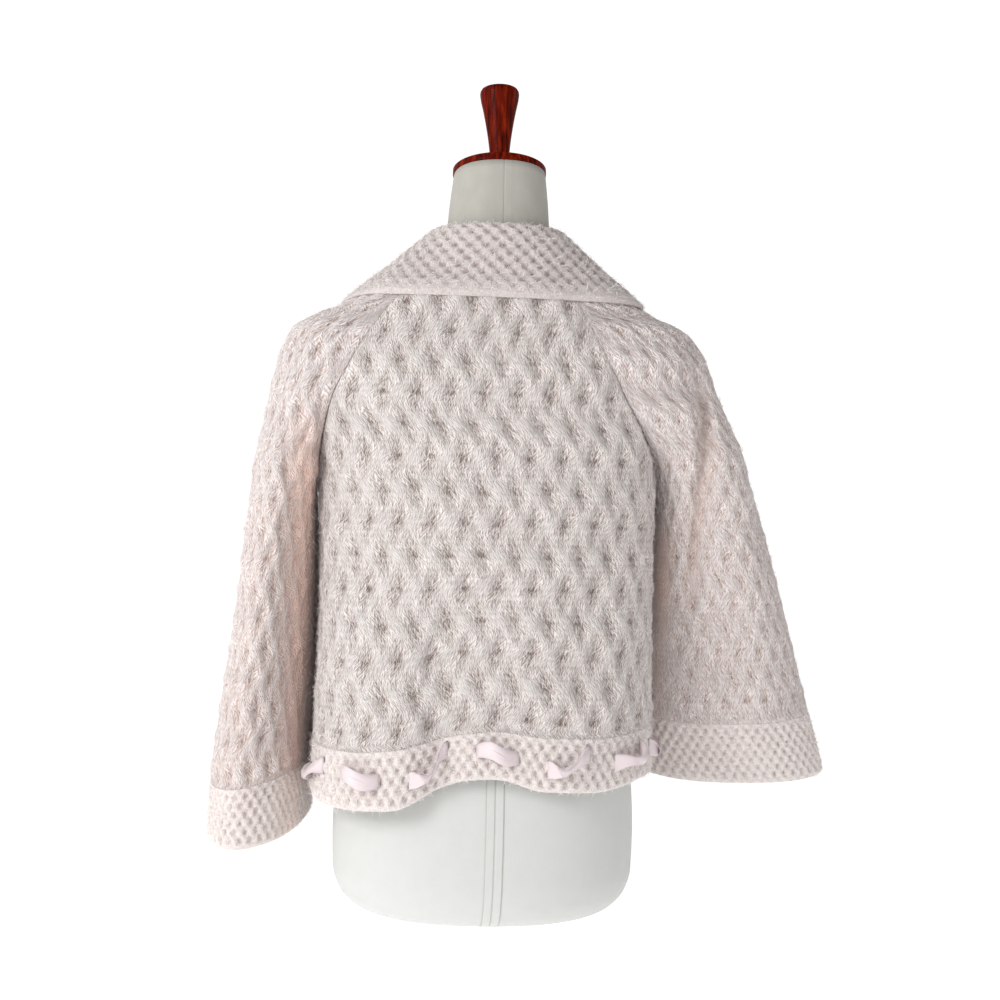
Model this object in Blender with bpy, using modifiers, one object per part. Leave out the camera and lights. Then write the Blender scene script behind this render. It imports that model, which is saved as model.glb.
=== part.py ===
"""Cable knit cardigan with raglan bell sleeves, resting on a limbless dress form.

Metres, +Z up. The form stands on z = 0 with its axis at x = y = 0. The wearer's left is +X
and the garment's back faces +Y. Every knitted piece is a wall: rows of points on its outer
side, a plainer set of rows inside, and a rim between them. Heights named level run down the
garment before the waves of the hem are added.
"""

import math

import bmesh
import bpy
import numpy as np

# The woven cable: crossings repeat every CABLE_WIDTH across and lean the other way every
# CABLE_HEIGHT down, half a repeat to the side.
CABLE_WIDTH = 0.033
CABLE_HEIGHT = 0.032
CABLE_RISE = 0.0032
CABLE_LEAN = math.pi / 6

# Walls and seams
PANEL_WALL = 0.0046
BAND_WALL = 0.0060
COLLAR_WALL = 0.0052
SEAM_GAP = 0.0003
BAND_GAP = 0.0006
SEAM_INSET = 0.0016
ARMPIT_TRIM = 0.0013
ARMPIT_INSET = 0.0026
ARMPIT_REACH = 0.070
RAGLAN_BAND = 0.016
SIDE_FADE = 0.010
BODY_INNER = 0.027
SLEEVE_INNER = 0.019
INNER_ROWS = 3
CLOSE_ROWS = 2
INNER_SPREAD = 2.4
HEM_BACK_STEPS = 38
HEM_FRONT_STEPS = 13
CUFF_STEPS = 24
SLEEVE_CLOSE = (0.560, 0.300)
END_FADE = 0.012
PART_STEP = 0.003

# How far the relief stays away from the armpit, and over what distance it comes back
ARMPIT_SIDE = 0.178
ARMPIT_CALM = 0.012
ARMPIT_RETURN = 0.036
ARMPIT_ACROSS = 0.55

# Levels of the garment
NECK_LEVEL = 0.680
ARMPIT_LEVEL = 0.455
HEM_LEVEL = 0.200
WAVE_START = 0.400
HEM_END = 0.150
FRONT_TOP = 0.603
FRONT_EDGE = 0.036
FRONT_BAND_EDGE = 0.010

# The dress form
CAP_TILT = math.radians(12.0)
NECK_TOP = 0.766
CAP_RADIUS = 0.0485
CAP_EDGE = 0.0065
CAP_DOME = 0.0075
CAP_ANGLES = [math.radians(angle) for angle in (18, 36, 54, 72, 90)]
KNOB_HEIGHT = 0.083
CAP_CHAMFER = 0.0012
CAP_STEPS = 32
KNOB_STEPS = 20
REST_GAP = 0.0004
FORM_SIDES = 28
FORM_SQUARE = 2.25
NECK_SLOPE_START = 0.700

# The ribbon threaded through the hem band
RIBBON_WIDTH = 0.013
RIBBON_THICKNESS = 0.0009
RIBBON_PITCH = 0.071
RIBBON_FIRST = -0.003
RIBBON_EACH_WAY = 6
RIBBON_BEHIND = (3, 11, 12)
RIBBON_DOWN = 0.42
RIBBON_SPAN = 0.044
RIBBON_ARCH = 0.002
RIBBON_CLEAR = 0.0001
RIBBON_PRESSED = 0.80
RIBBON_LEAN = 0.010
RIBBON_STATIONS = 10


def table(columns, *rows):
    """A small table whose first column is the one it is read by."""
    values = np.array(rows, dtype=float)
    return dict(zip(columns.split(), values.T))


FORM = table(
    "height half_width back front",
    (0.000, 0.085, 0.060, 0.060),
    (0.005, 0.112, 0.084, 0.084),
    (0.014, 0.133, 0.099, 0.098),
    (0.030, 0.148, 0.109, 0.108),
    (0.050, 0.1545, 0.114, 0.112),
    (0.090, 0.1555, 0.116, 0.114),
    (0.130, 0.154, 0.114, 0.112),
    (0.180, 0.147, 0.106, 0.106),
    (0.230, 0.135, 0.094, 0.096),
    (0.285, 0.124, 0.084, 0.088),
    (0.340, 0.124, 0.085, 0.094),
    (0.400, 0.134, 0.092, 0.110),
    (0.455, 0.143, 0.099, 0.120),
    (0.500, 0.148, 0.102, 0.114),
    (0.545, 0.157, 0.100, 0.103),
    (0.5825, 0.167, 0.095, 0.090),
    (0.6032, 0.170, 0.089, 0.080),
    (0.6156, 0.158, 0.083, 0.072),
    (0.6290, 0.131, 0.075, 0.064),
    (0.6461, 0.094, 0.064, 0.052),
    (0.664, 0.068, 0.056, 0.048),
    (0.682, 0.0565, 0.0525, 0.048),
    (0.705, 0.0535, 0.052, 0.049),
    (0.735, 0.051, 0.050, 0.048),
    (0.766, 0.0475, 0.0475, 0.0465),
)

BODY = table(
    "level half_width back front shift turn square",
    (0.680, 0.074, 0.062, 0.052, 0.004, 46, 2.2),
    (0.660, 0.096, 0.078, 0.068, 0.010, 50, 2.2),
    (0.640, 0.120, 0.090, 0.082, 0.015, 53, 2.3),
    (0.615, 0.145, 0.101, 0.096, 0.019, 56, 2.4),
    (0.580, 0.160, 0.112, 0.112, 0.022, 60, 2.5),
    (0.540, 0.168, 0.120, 0.125, 0.022, 66, 2.5),
    (0.500, 0.172, 0.125, 0.133, 0.015, 76, 2.5),
    (0.475, 0.173, 0.127, 0.135, 0.009, 84, 2.5),
    (0.455, 0.174, 0.128, 0.136, 0.006, 90, 2.5),
    (0.400, 0.172, 0.130, 0.136, 0.005, 90, 2.5),
    (0.300, 0.171, 0.132, 0.134, 0.004, 90, 2.5),
    (0.200, 0.173, 0.134, 0.134, 0.004, 90, 2.5),
    (0.120, 0.175, 0.135, 0.134, 0.004, 90, 2.5),
)

# Where a sleeve meets the back and the front, measured from the panel's middle
RAGLAN = table(
    "level back_x back_y front_x front_y",
    (0.680, 0.057, 0.046, 0.064, -0.026),
    (0.660, 0.070, 0.064, 0.082, -0.046),
    (0.640, 0.084, 0.077, 0.098, -0.062),
    (0.615, 0.101, 0.088, 0.114, -0.078),
    (0.580, 0.122, 0.096, 0.132, -0.092),
    (0.540, 0.143, 0.092, 0.150, -0.090),
    (0.500, 0.161, 0.072, 0.164, -0.068),
    (0.475, 0.170, 0.040, 0.171, -0.038),
    (0.455, 0.174, 0.000, 0.174, 0.000),
)

# The hem band around the body: 0 is the middle of the back, + towards the wearer's left
HEM = table(
    "bearing lower upper swell",
    (-180, 0.150, 0.200, 0.000),
    (-135, 0.144, 0.195, 0.006),
    (-90, 0.158, 0.206, 0.000),
    (-60, 0.154, 0.204, 0.004),
    (-36, 0.146, 0.199, 0.011),
    (-18, 0.147, 0.200, 0.006),
    (0, 0.158, 0.205, -0.002),
    (14, 0.156, 0.202, -0.004),
    (25, 0.147, 0.196, -0.011),
    (38, 0.126, 0.185, 0.010),
    (52, 0.124, 0.181, 0.015),
    (75, 0.128, 0.182, 0.005),
    (90, 0.132, 0.184, 0.000),
    (135, 0.140, 0.191, 0.006),
    (180, 0.150, 0.200, 0.000),
)

# Each sleeve as it hangs: the wearer's left is close and turned, the right swings out
SLEEVES = {
    1: table(
        "level outer inner middle_y depth wrap square rise sag tuck",
        (0.680, 0.076, 0.010, 0.006, 0.052, 74, 2.2, 0, 0, 0),
        (0.655, 0.106, 0.000, 0.004, 0.070, 78, 2.2, 0, 0, 0),
        (0.633, 0.138, 0.000, 0.002, 0.082, 80, 2.2, 0, 0, 0),
        (0.619, 0.164, 0.005, 0.000, 0.090, 82, 2.3, 0, 0, 0),
        (0.609, 0.194, 0.020, 0.000, 0.096, 84, 2.4, 0, 0, 0),
        (0.597, 0.211, 0.030, 0.000, 0.099, 86, 2.4, 0, 0, 0),
        (0.578, 0.220, 0.045, 0.000, 0.101, 90, 2.4, 0, 0, 0),
        (0.545, 0.228, 0.080, 0.000, 0.098, 98, 2.4, 0, 0, 0),
        (0.515, 0.234, 0.125, 0.000, 0.094, 114, 2.4, 0, 0, 0),
        (0.485, 0.239, 0.164, 0.000, 0.091, 144, 2.4, 0, 0, 0),
        (0.455, 0.243, 0.1800, -0.001, 0.089, 180, 2.4, 0, 0, -0.002),
        (0.435, 0.245, 0.1803, -0.001, 0.089, 180, 2.4, 0.002, 0, -0.020),
        (0.400, 0.249, 0.1780, -0.002, 0.088, 180, 2.4, 0.006, 0, -0.044),
        (0.300, 0.261, 0.1752, -0.004, 0.088, 180, 2.4, 0.012, 0, -0.063),
        (0.200, 0.274, 0.1760, -0.008, 0.089, 180, 2.4, 0.020, 0.003, -0.068),
        (0.135, 0.281, 0.1772, -0.010, 0.090, 180, 2.4, 0.026, 0.006, -0.070),
        (0.070, 0.284, 0.1774, -0.012, 0.090, 180, 2.4, 0.016, 0.010, -0.070),
    ),
    -1: table(
        "level outer inner middle_y depth wrap square rise sag tuck",
        (0.680, 0.076, 0.010, 0.006, 0.052, 74, 2.2, 0, 0, 0),
        (0.655, 0.106, 0.000, 0.004, 0.070, 78, 2.2, 0, 0, 0),
        (0.633, 0.138, 0.000, 0.002, 0.082, 80, 2.2, 0, 0, 0),
        (0.619, 0.162, 0.005, 0.000, 0.090, 82, 2.3, 0, 0, 0),
        (0.609, 0.190, 0.020, 0.000, 0.096, 84, 2.4, 0, 0, 0),
        (0.597, 0.207, 0.030, 0.000, 0.099, 86, 2.4, 0, 0, 0),
        (0.578, 0.218, 0.045, 0.000, 0.101, 90, 2.4, 0, 0, 0),
        (0.545, 0.230, 0.080, 0.000, 0.099, 98, 2.4, 0, 0, 0),
        (0.515, 0.245, 0.115, 0.000, 0.096, 114, 2.4, 0, 0, 0),
        (0.485, 0.260, 0.150, -0.003, 0.093, 144, 2.4, 0, 0, 0),
        (0.455, 0.271, 0.1690, -0.008, 0.090, 180, 2.4, 0, 0, 0),
        (0.435, 0.278, 0.1720, -0.011, 0.088, 180, 2.4, 0.001, 0, 0),
        (0.400, 0.290, 0.1730, -0.018, 0.084, 180, 2.4, 0.002, 0, 0),
        (0.300, 0.326, 0.1745, -0.042, 0.073, 180, 2.4, 0.000, 0.002, 0),
        (0.220, 0.354, 0.1735, -0.062, 0.067, 180, 2.5, -0.006, 0.008, 0),
        (0.146, 0.3795, 0.1730, -0.077, 0.064, 180, 2.6, -0.001, 0.010, 0),
    ),
}
CUFF_TOP = {1: 0.135, -1: 0.212}
CUFF_BOTTOM = {1: 0.079, -1: 0.146}

# Long soft folds in the sleeves, as lines that run down them: face 1 is the back side
SLEEVE_FOLDS = {
    1: table(
        "face top bottom x_top x_bottom width depth",
        (1, 0.530, 0.150, 0.203, 0.208, 0.010, 0.009),
        (1, 0.420, 0.080, 0.236, 0.258, 0.012, -0.004),
        (-1, 0.540, 0.200, 0.210, 0.216, 0.014, 0.009),
    ),
    -1: table(
        "face top bottom x_top x_bottom width depth",
        (1, 0.580, 0.290, 0.206, 0.208, 0.010, 0.015),
        (1, 0.400, 0.160, 0.262, 0.300, 0.022, -0.006),
        (-1, 0.560, 0.240, 0.212, 0.230, 0.014, 0.010),
    ),
}

# The collar: its radius at the neck, how high it folds and where its edge comes to lie
COLLAR = table(
    "bearing stand top_height edge_level",
    (0, 0.0565, 0.7095, 0.630),
    (50, 0.0590, 0.7095, 0.630),
    (90, 0.0610, 0.7095, 0.628),
    (110, 0.0625, 0.7075, 0.617),
    (127, 0.0600, 0.7020, 0.604),
    (142, 0.0720, 0.6830, 0.590),
    (160, 0.0910, 0.6560, 0.572),
)
COLLAR_END = 158
COLLAR_STEPS = 44
COLLAR_OFF = 0.0060
COLLAR_LIFT = 0.0035
COLLAR_BELLY = 0.015
COLLAR_RISE_END = 0.011
COLLAR_TOP_OUT = 0.0068
COLLAR_TURN_OUT = 0.0145
COLLAR_TURN_DOWN = 0.0045
YOKE_STEP = 0.004
COLLAR_PLACES = (0.0, 0.016, 0.030, 0.039, 0.085, 0.130)

# The turned knob, as parts of its height and the radius there
KNOB = table(
    "part radius",
    (0.000, 0.0094),
    (0.060, 0.0098),
    (0.250, 0.0113),
    (0.500, 0.0142),
    (0.700, 0.0172),
    (0.860, 0.0199),
    (0.930, 0.0205),
    (0.975, 0.0190),
    (1.000, 0.0130),
)

# How far from the middle of the front the neckline runs, and the collar's end is fixed
NECKLINE = table(
    "level x",
    (0.680, 0.050),
    (0.660, 0.048),
    (0.640, 0.044),
    (0.620, 0.039),
    (0.605, FRONT_EDGE),
    (0.100, FRONT_EDGE),
)


def read(data, column, where):
    """A column at one place or many, by a cubic that never overshoots its rows."""
    key = data[next(iter(data))]
    value = data[column]
    if key[0] > key[-1]:
        key, value = key[::-1], value[::-1]
    step = np.diff(key)
    rate = np.diff(value) / step
    slope = np.zeros(len(key))
    slope[0], slope[-1] = rate[0], rate[-1]
    product = rate[:-1] * rate[1:]
    total = rate[:-1] + rate[1:]
    steady = product > 0
    slope[1:-1][steady] = 2 * product[steady] / total[steady]
    at = np.clip(where, key[0], key[-1])
    row = np.clip(np.searchsorted(key, at, side="right") - 1, 0, len(step) - 1)
    t = (at - key[row]) / step[row]
    start = value[row] * (1 + 2 * t) + slope[row] * step[row] * t
    end = value[row + 1] * (3 - 2 * t) - slope[row + 1] * step[row] * (1 - t)
    return start * (1 - t) ** 2 + end * t ** 2


def ease(value):
    """0 below 0, 1 above 1 and a smooth step between."""
    t = np.clip(value, 0.0, 1.0)
    return t * t * (3 - 2 * t)


def signed_power(value, power):
    return np.sign(value) * np.abs(value) ** power


def lengths(points):
    """Distance along a line of points, from its first."""
    steps = np.linalg.norm(np.diff(points, axis=0), axis=1)
    return np.concatenate(([0.0], np.cumsum(steps)))


def walk(points, along, where):
    """Points at given distances along a line of points."""
    return np.stack([np.interp(where, along, points[:, axis]) for axis in range(3)], axis=1)


# The body of the garment

def seam_point(side, face, level):
    """The edge of a body panel: the raglan line, and below the armpit the side seam."""
    shift = read(BODY, "shift", level)
    if level <= ARMPIT_LEVEL:
        return side * read(BODY, "half_width", level) + shift, 0.0
    return side * read(RAGLAN, face + "_x", level) + shift, read(RAGLAN, face + "_y", level)


def half_row(side, face, level, count=49):
    """A row of a body panel from its middle to one edge, before the waves of the hem."""
    middle_x = read(BODY, "shift", level) if face == "back" else 0.0
    depth = read(BODY, face, level) * (1 if face == "back" else -1)
    edge_x, edge_y = seam_point(side, face, level)
    turn = math.radians(read(BODY, "turn", level))
    power = 2 / read(BODY, "square", level)
    angle = np.linspace(0.0, turn, count)
    across = (np.sin(angle) / math.sin(turn)) ** power
    low = max(math.cos(turn), 0.0) ** power
    deep = (np.clip(np.cos(angle), 0.0, 1.0) ** power - low) / (1 - low)
    x = middle_x + (edge_x - middle_x) * across
    y = edge_y + (depth - edge_y) * deep
    return np.stack([x, y, np.full(count, level)], axis=1)


def bearing_of(x, y):
    """Degrees around the body from the middle of the back, + towards the wearer's left."""
    return np.degrees(np.arctan2(x, y))


def add_waves(points, level):
    """Swings a row out and down with the waves of the hem, to the band's lower edge."""
    bearing = bearing_of(points[:, 0], points[:, 1])
    upper, lower = read(HEM, "upper", bearing), read(HEM, "lower", bearing)
    fade = ease((WAVE_START - level) / (WAVE_START - HEM_LEVEL))
    stretch = 1 + read(HEM, "swell", bearing) * fade / np.hypot(points[:, 0], points[:, 1])
    height = level + (upper - HEM_LEVEL) * fade
    if level < HEM_LEVEL:
        height = upper + (lower - upper) * (HEM_LEVEL - level) / (HEM_LEVEL - HEM_END)
    return np.stack([points[:, 0] * stretch, points[:, 1] * stretch, height], axis=1)


def back_row(level):
    """The back from the wearer's right edge to the left, and where its middle lies."""
    right = half_row(-1, "back", level)[::-1]
    left = half_row(1, "back", level)[1:]
    points = add_waves(np.concatenate([right, left]), level)
    return points, lengths(points)[len(right) - 1]


def front_row(side, level):
    """One front from the side seam or raglan to the edge beside the middle."""
    points = half_row(side, "front", level)
    reach = side * points[-1, 0]
    points = between(points, side, float(read(NECKLINE, "x", level)), reach)[::-1]
    points = add_waves(points, level)
    return points, lengths(points)[-1] + CABLE_WIDTH / 4


def between(points, side, low, high):
    """The stretch of a row that lies between two distances from the middle."""
    x = side * points[:, 0]
    along = lengths(points)
    order = np.argsort(x)
    first, last = np.interp((low, high), x[order], along[order])
    inside = along[(along > first) & (along < last)]
    return walk(points, along, np.concatenate(([first], inside, [last])))


def front_band_row(side, level):
    """The narrow band down one front edge, from the panel's edge towards the middle."""
    points = half_row(side, "front", level)
    points = between(points, side, FRONT_BAND_EDGE, FRONT_EDGE - SEAM_GAP)[::-1]
    points = add_waves(points, level)
    return points, 0.0


def body_profile(face):
    """Levels against distance down the middle of a body panel, and the panel's length."""
    level = np.linspace(NECK_LEVEL, HEM_LEVEL - 0.01, 200)
    along = lengths(np.stack([read(BODY, face, level), level, 0 * level], axis=1))
    return level, along, float(np.interp(-HEM_LEVEL, -level, along))


# The sleeves

def sleeve_row(side, level, spread=1.0, count=97):
    """A sleeve's row from its back edge, over the outer side, to its front edge."""
    data = SLEEVES[side]
    outer, inner = read(data, "outer", level), read(data, "inner", level)
    middle_y, depth = read(data, "middle_y", level), read(data, "depth", level)
    wrap = math.radians(read(data, "wrap", level))
    power = 2 / read(data, "square", level)
    angle = np.linspace(wrap, -wrap, count)
    across = signed_power(np.cos(angle), power)
    deep = signed_power(np.sin(angle), power)
    x = (outer + inner) / 2 + (outer - inner) / 2 * across
    y = middle_y + depth * deep
    if level > ARMPIT_LEVEL:
        for face, end, toward in (("back", 0, 1), ("front", -1, -1)):
            edge_x, edge_y = seam_point(side, face, level)
            weight = ease((toward * angle / wrap - 0.25) / 0.75)
            x = x + (side * edge_x - x[end]) * weight
            y = y + (edge_y - y[end]) * weight
    inward = (outer - x) / (outer - inner)
    height = level + read(data, "rise", level) * inward
    height = height - read(data, "sag", level) * ((y - middle_y) / depth) ** 2
    spread = 1 + (spread - 1) * ease((level - CUFF_TOP[side]) / 0.040)
    y = fold_sleeve(side, level, x, y, middle_y, depth, spread)
    y = y + read(data, "tuck", level) * inward ** 2
    points = np.stack([side * x, y, height], axis=1)
    return points, lengths(points)[count // 2]


def fold_sleeve(side, level, x, y, middle_y, depth, spread):
    """Presses the sleeve's long folds into one row, spread wider for the wall's inner side."""
    folds = SLEEVE_FOLDS[side]
    for row in range(len(folds["face"])):
        face, top, bottom, x_top, x_bottom, width, deep = [column[row] for column in folds.values()]
        part = (top - level) / (top - bottom)
        reach = ease(part / 0.2) * ease((1 - part) / 0.3)
        line = x_top + (x_bottom - x_top) * part
        on_side = ease((face * (y - middle_y) / depth - 0.35) / 0.4)
        wide = width * spread if deep > 0 else width
        y = y - face * deep * reach * on_side * np.exp(-((x - line) / wide) ** 2)
    return y


def sleeve_profile(side):
    """Levels against distance along the sleeve's outer line, and its length to the cuff."""
    level = np.linspace(NECK_LEVEL, CUFF_TOP[side] - 0.01, 400)
    along = lengths(np.stack([read(SLEEVES[side], "outer", level), level, 0 * level], axis=1))
    return level, along, float(np.interp(-CUFF_TOP[side], -level, along))


# Walls

def cable_height(across, along):
    """Relief of the woven cable: crossings stand up, eyes between them go down."""
    row = math.pi * along / CABLE_HEIGHT
    column = 2 * math.pi * across / CABLE_WIDTH + CABLE_LEAN * np.sin(row)
    crossing = np.cos(column) * np.cos(row)
    ridges = -np.cos(2 * column) * np.sin(row) ** 2
    return CABLE_RISE * (0.75 * crossing + 0.42 * ridges)


def facing(row_at, down, across, turn):
    """Unit normals of a surface at distances across one of its rows; turn is 1 or -1."""
    points, middle = row_at(down)
    along = lengths(points) - middle
    upper, lower = row_at(down - PART_STEP)[0], row_at(down + PART_STEP)[0]
    ahead = walk(points, along, across + PART_STEP)
    behind = walk(points, along, across - PART_STEP)
    share = (across - along[0]) / (along[-1] - along[0])
    above = walk(upper, lengths(upper) / lengths(upper)[-1], share)
    below = walk(lower, lengths(lower) / lengths(lower)[-1], share)
    normal = turn * np.cross(ahead - behind, above - below)
    return normal / np.linalg.norm(normal, axis=1, keepdims=True)


def zip_rows(upper, lower):
    """Triangles between two rows, each a list of (place, point number) in order."""
    faces = []
    i, k = 0, 0
    while i < len(upper) - 1 or k < len(lower) - 1:
        next_upper = upper[i + 1][0] if i < len(upper) - 1 else math.inf
        next_lower = lower[k + 1][0] if k < len(lower) - 1 else math.inf
        if next_upper <= next_lower:
            faces.append((upper[i][1], lower[k][1], upper[i + 1][1]))
            i += 1
        else:
            faces.append((upper[i][1], lower[k][1], lower[k + 1][1]))
            k += 1
    return faces


def wall_mesh(outer, inner):
    """A closed wall from rows of (down, across values, points), outer side and inner side."""
    points, sides = [], []
    for rows in (outer, inner):
        side = []
        for down, across, row in rows:
            first = len(points)
            points.extend(row)
            side.append((down, [(place, first + n) for n, place in enumerate(across)]))
        sides.append(side)
    faces = []
    for side, flip in zip(sides, (False, True)):
        for (_, upper), (_, lower) in zip(side, side[1:]):
            strip = zip_rows(upper, lower)
            faces += [face[::-1] for face in strip] if flip else strip
    outer_side, inner_side = sides
    for end, flip in ((0, True), (-1, False)):
        outer_line = [(down, row[end][1]) for down, row in outer_side]
        inner_line = [(down, row[end][1]) for down, row in inner_side]
        strip = zip_rows(outer_line, inner_line)
        faces += [face[::-1] for face in strip] if flip else strip
        strip = zip_rows(outer_side[end][1], inner_side[end][1])
        faces += [face[::-1] for face in strip] if not flip else strip
    return points, faces


def add_mesh(name, points, faces, material):
    """One named object from points and faces, its faces turned outward."""
    mesh = bpy.data.meshes.new(name)
    mesh.from_pydata([tuple(point) for point in points], [], faces)
    shape = bmesh.new()
    shape.from_mesh(mesh)
    bmesh.ops.recalc_face_normals(shape, faces=shape.faces)
    if shape.calc_volume(signed=True) < 0:
        bmesh.ops.reverse_faces(shape, faces=shape.faces)
    shape.to_mesh(mesh)
    shape.free()
    mesh.shade_smooth()
    mesh.materials.append(material)
    piece = bpy.data.objects.new(name, mesh)
    PIECES.objects.link(piece)
    return piece


def row_ends(points, along):
    """Where a row begins and ends, half a seam gap inside its edges and more at the armpit.

    The last two values are how much further in the wall's inner side begins and ends.
    """
    far = [math.hypot(point[1], point[2] - ARMPIT_LEVEL) for point in (points[0], points[-1])]
    close = [math.exp(-(distance / ARMPIT_REACH) ** 2) for distance in far]
    trim = [SEAM_GAP / 2 + ARMPIT_TRIM * value for value in close]
    inset = [SEAM_INSET + ARMPIT_INSET * value for value in close]
    return along[0] + trim[0], along[-1] - trim[1], inset[0], inset[1]


def cable_places(first, last, along):
    """Places across a cable row: both edges, with crossings or ridges between them."""
    lean = -CABLE_LEAN / (2 * math.pi) * CABLE_WIDTH * math.sin(math.pi * along / CABLE_HEIGHT)
    crossing_row = round(2 * along / CABLE_HEIGHT) % 2 == 0
    step = CABLE_WIDTH / 2 if crossing_row else CABLE_WIDTH / 4
    near = 0.3 * CABLE_WIDTH / 2
    low = math.ceil((first + near - lean) / step)
    high = math.floor((last - near - lean) / step)
    return np.array([first] + [lean + n * step for n in range(low, high + 1)] + [last])


def even_places(first, last, step):
    """Even places from first to last, about a step apart, or as many steps as an int says."""
    count = step if isinstance(step, int) else max(2, round((last - first) / step))
    return np.linspace(first, last, count + 1)


def cable_panel(name, row_at, total, edge_fade, turn, inner_step, last_step, close, material):
    """A cable panel: raised rows outside, fewer and plain ones inside.

    last_step spaces the points of the last row, as the band below it has them. Inside, the
    rows stand closer where the distance down lies between the two values of close.
    """
    row_count = round(total / (CABLE_HEIGHT / 2))
    step = total / row_count
    inner_row_at = lambda down: row_at(down, INNER_SPREAD)
    outer, inner = [], []
    for n in range(row_count + 1):
        down = n * step
        along_cable = n * CABLE_HEIGHT / 2
        points, middle = row_at(down)
        along = lengths(points) - middle
        first, last, _, _ = row_ends(points, along)
        across = cable_places(first, last, along_cable)
        if n == row_count:
            across = even_places(first, last, last_step)
        place = walk(points, along, across)
        normal = facing(row_at, down, across, turn)
        room = np.minimum(ease((across - first) / edge_fade[0]), ease((last - across) / edge_fade[1]))
        end_room = ease(down / END_FADE) * ease((total - down) / END_FADE)
        rise = cable_height(across, along_cable) * room * end_room * calm_armpit(place)
        outer.append((down, across, place + normal * rise[:, None]))
        every = CLOSE_ROWS if close[0] < down < close[1] else INNER_ROWS
        if n % every == 0 or n == row_count:
            inner_across = last_step if n == row_count else inner_step
            down, across, place = inner_row(inner_row_at, down, inner_across, PANEL_WALL, turn)
            inner.append((down, across, place))
    points, faces = wall_mesh(outer, inner)
    return add_mesh(name, points, faces, material)


def inner_row(row_at, down, step, wall, turn):
    """A row of a wall's plain inner side, drawn in a little from both edges."""
    points, middle = row_at(down)
    along = lengths(points) - middle
    first, last, first_inset, last_inset = row_ends(points, along)
    across = even_places(first, last, step)
    across[0] += first_inset
    across[-1] -= last_inset
    normal = facing(row_at, down, across, turn)
    return down, across, walk(points, along, across) - normal * wall


def plain_wall(name, row_at, downs, count, wall, turn, material):
    """A band of even thickness, with as many steps across each row as count says."""
    outer, inner = [], []
    share = np.linspace(0, 1, count + 1)
    for down in downs:
        points, middle = row_at(down)
        along = lengths(points) - middle
        first, last, first_inset, last_inset = row_ends(points, along)
        across = first + (last - first) * share
        outer.append((down, share, walk(points, along, across)))
        across[0] += first_inset
        across[-1] -= last_inset
        normal = facing(row_at, down, across, turn)
        inner.append((down, share, walk(points, along, across) - normal * wall))
    points, faces = wall_mesh(outer, inner)
    return add_mesh(name, points, faces, material)


def calm_armpit(place):
    """Takes the relief away where sleeve and body meet under the arm and below it."""
    above = np.maximum(place[:, 2] - ARMPIT_LEVEL, 0)
    aside = np.abs(place[:, 0]) - ARMPIT_SIDE
    far = np.stack([aside, ARMPIT_ACROSS * place[:, 1], above], axis=1)
    return ease((np.linalg.norm(far, axis=1) - ARMPIT_CALM) / ARMPIT_RETURN)


def add_material(name, colour, roughness):
    material = bpy.data.materials.new(name)
    material.use_nodes = True
    shader = material.node_tree.nodes["Principled BSDF"]
    shader.inputs["Base Color"].default_value = (*colour, 1.0)
    shader.inputs["Roughness"].default_value = roughness
    shader.inputs["Metallic"].default_value = 0.0
    return material


# The garment's pieces

SIDE_NAMES = {1: "left", -1: "right"}


def make_back(material):
    level, along, total = body_profile("back")
    row_at = lambda down, spread=1: back_row(float(np.interp(down, along, level)))
    fade = (RAGLAN_BAND, RAGLAN_BAND)
    cable_panel("body_back", row_at, total, fade, -1, BODY_INNER, HEM_BACK_STEPS, (0, 0), material)


def make_front(side, material):
    level, along, total = body_profile("front")
    row_at = lambda down, spread=1: front_row(side, float(np.interp(down, along, level)))
    fade = (RAGLAN_BAND, SIDE_FADE)
    name = "front_" + SIDE_NAMES[side]
    cable_panel(name, row_at, total, fade, -side, BODY_INNER, HEM_FRONT_STEPS, (0, 0), material)


def make_sleeve(side, material):
    level, along, total = sleeve_profile(side)
    row_at = lambda down, spread=1: sleeve_row(side, float(np.interp(down, along, level)), spread)
    fade = (RAGLAN_BAND, RAGLAN_BAND)
    close = np.interp(np.negative(SLEEVE_CLOSE), -level, along)
    name = "sleeve_" + SIDE_NAMES[side]
    cable_panel(name, row_at, total, fade, -side, SLEEVE_INNER, CUFF_STEPS, close, material)


def make_cuff(side, material):
    top, bottom = CUFF_TOP[side] - BAND_GAP, CUFF_BOTTOM[side]
    row_at = lambda down: sleeve_row(side, top - down)
    downs = np.linspace(0, top - bottom, 4)
    plain_wall("cuff_" + SIDE_NAMES[side], row_at, downs, CUFF_STEPS, BAND_WALL, -side, material)


def make_hem(material):
    top = HEM_LEVEL - BAND_GAP
    downs = np.linspace(0, top - HEM_END, 4)
    row_at = lambda down: back_row(top - down)
    plain_wall("hem_back", row_at, downs, HEM_BACK_STEPS, BAND_WALL, -1, material)
    for side, side_name in SIDE_NAMES.items():
        row_at = lambda down: front_row(side, top - down)
        name = "hem_front_" + side_name
        plain_wall(name, row_at, downs, HEM_FRONT_STEPS, BAND_WALL, -side, material)


def make_front_bands(material):
    for side, side_name in SIDE_NAMES.items():
        row_at = lambda down: front_band_row(side, FRONT_TOP - down)
        downs = np.linspace(0, FRONT_TOP - HEM_END, 16)
        plain_wall("front_band_" + side_name, row_at, downs, 2, BAND_WALL, -side, material)


# The collar

def yoke_ring(level):
    """Bearings and distances from the middle, all round the shoulders at one height."""
    rows = [back_row(level)[0]]
    for side in (1, -1):
        rows += [front_row(side, level)[0], sleeve_row(side, level)[0]]
    points = np.concatenate(rows)
    bearing = bearing_of(points[:, 0], points[:, 1])
    order = np.argsort(bearing)
    return bearing[order], np.hypot(points[:, 0], points[:, 1])[order]


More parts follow.
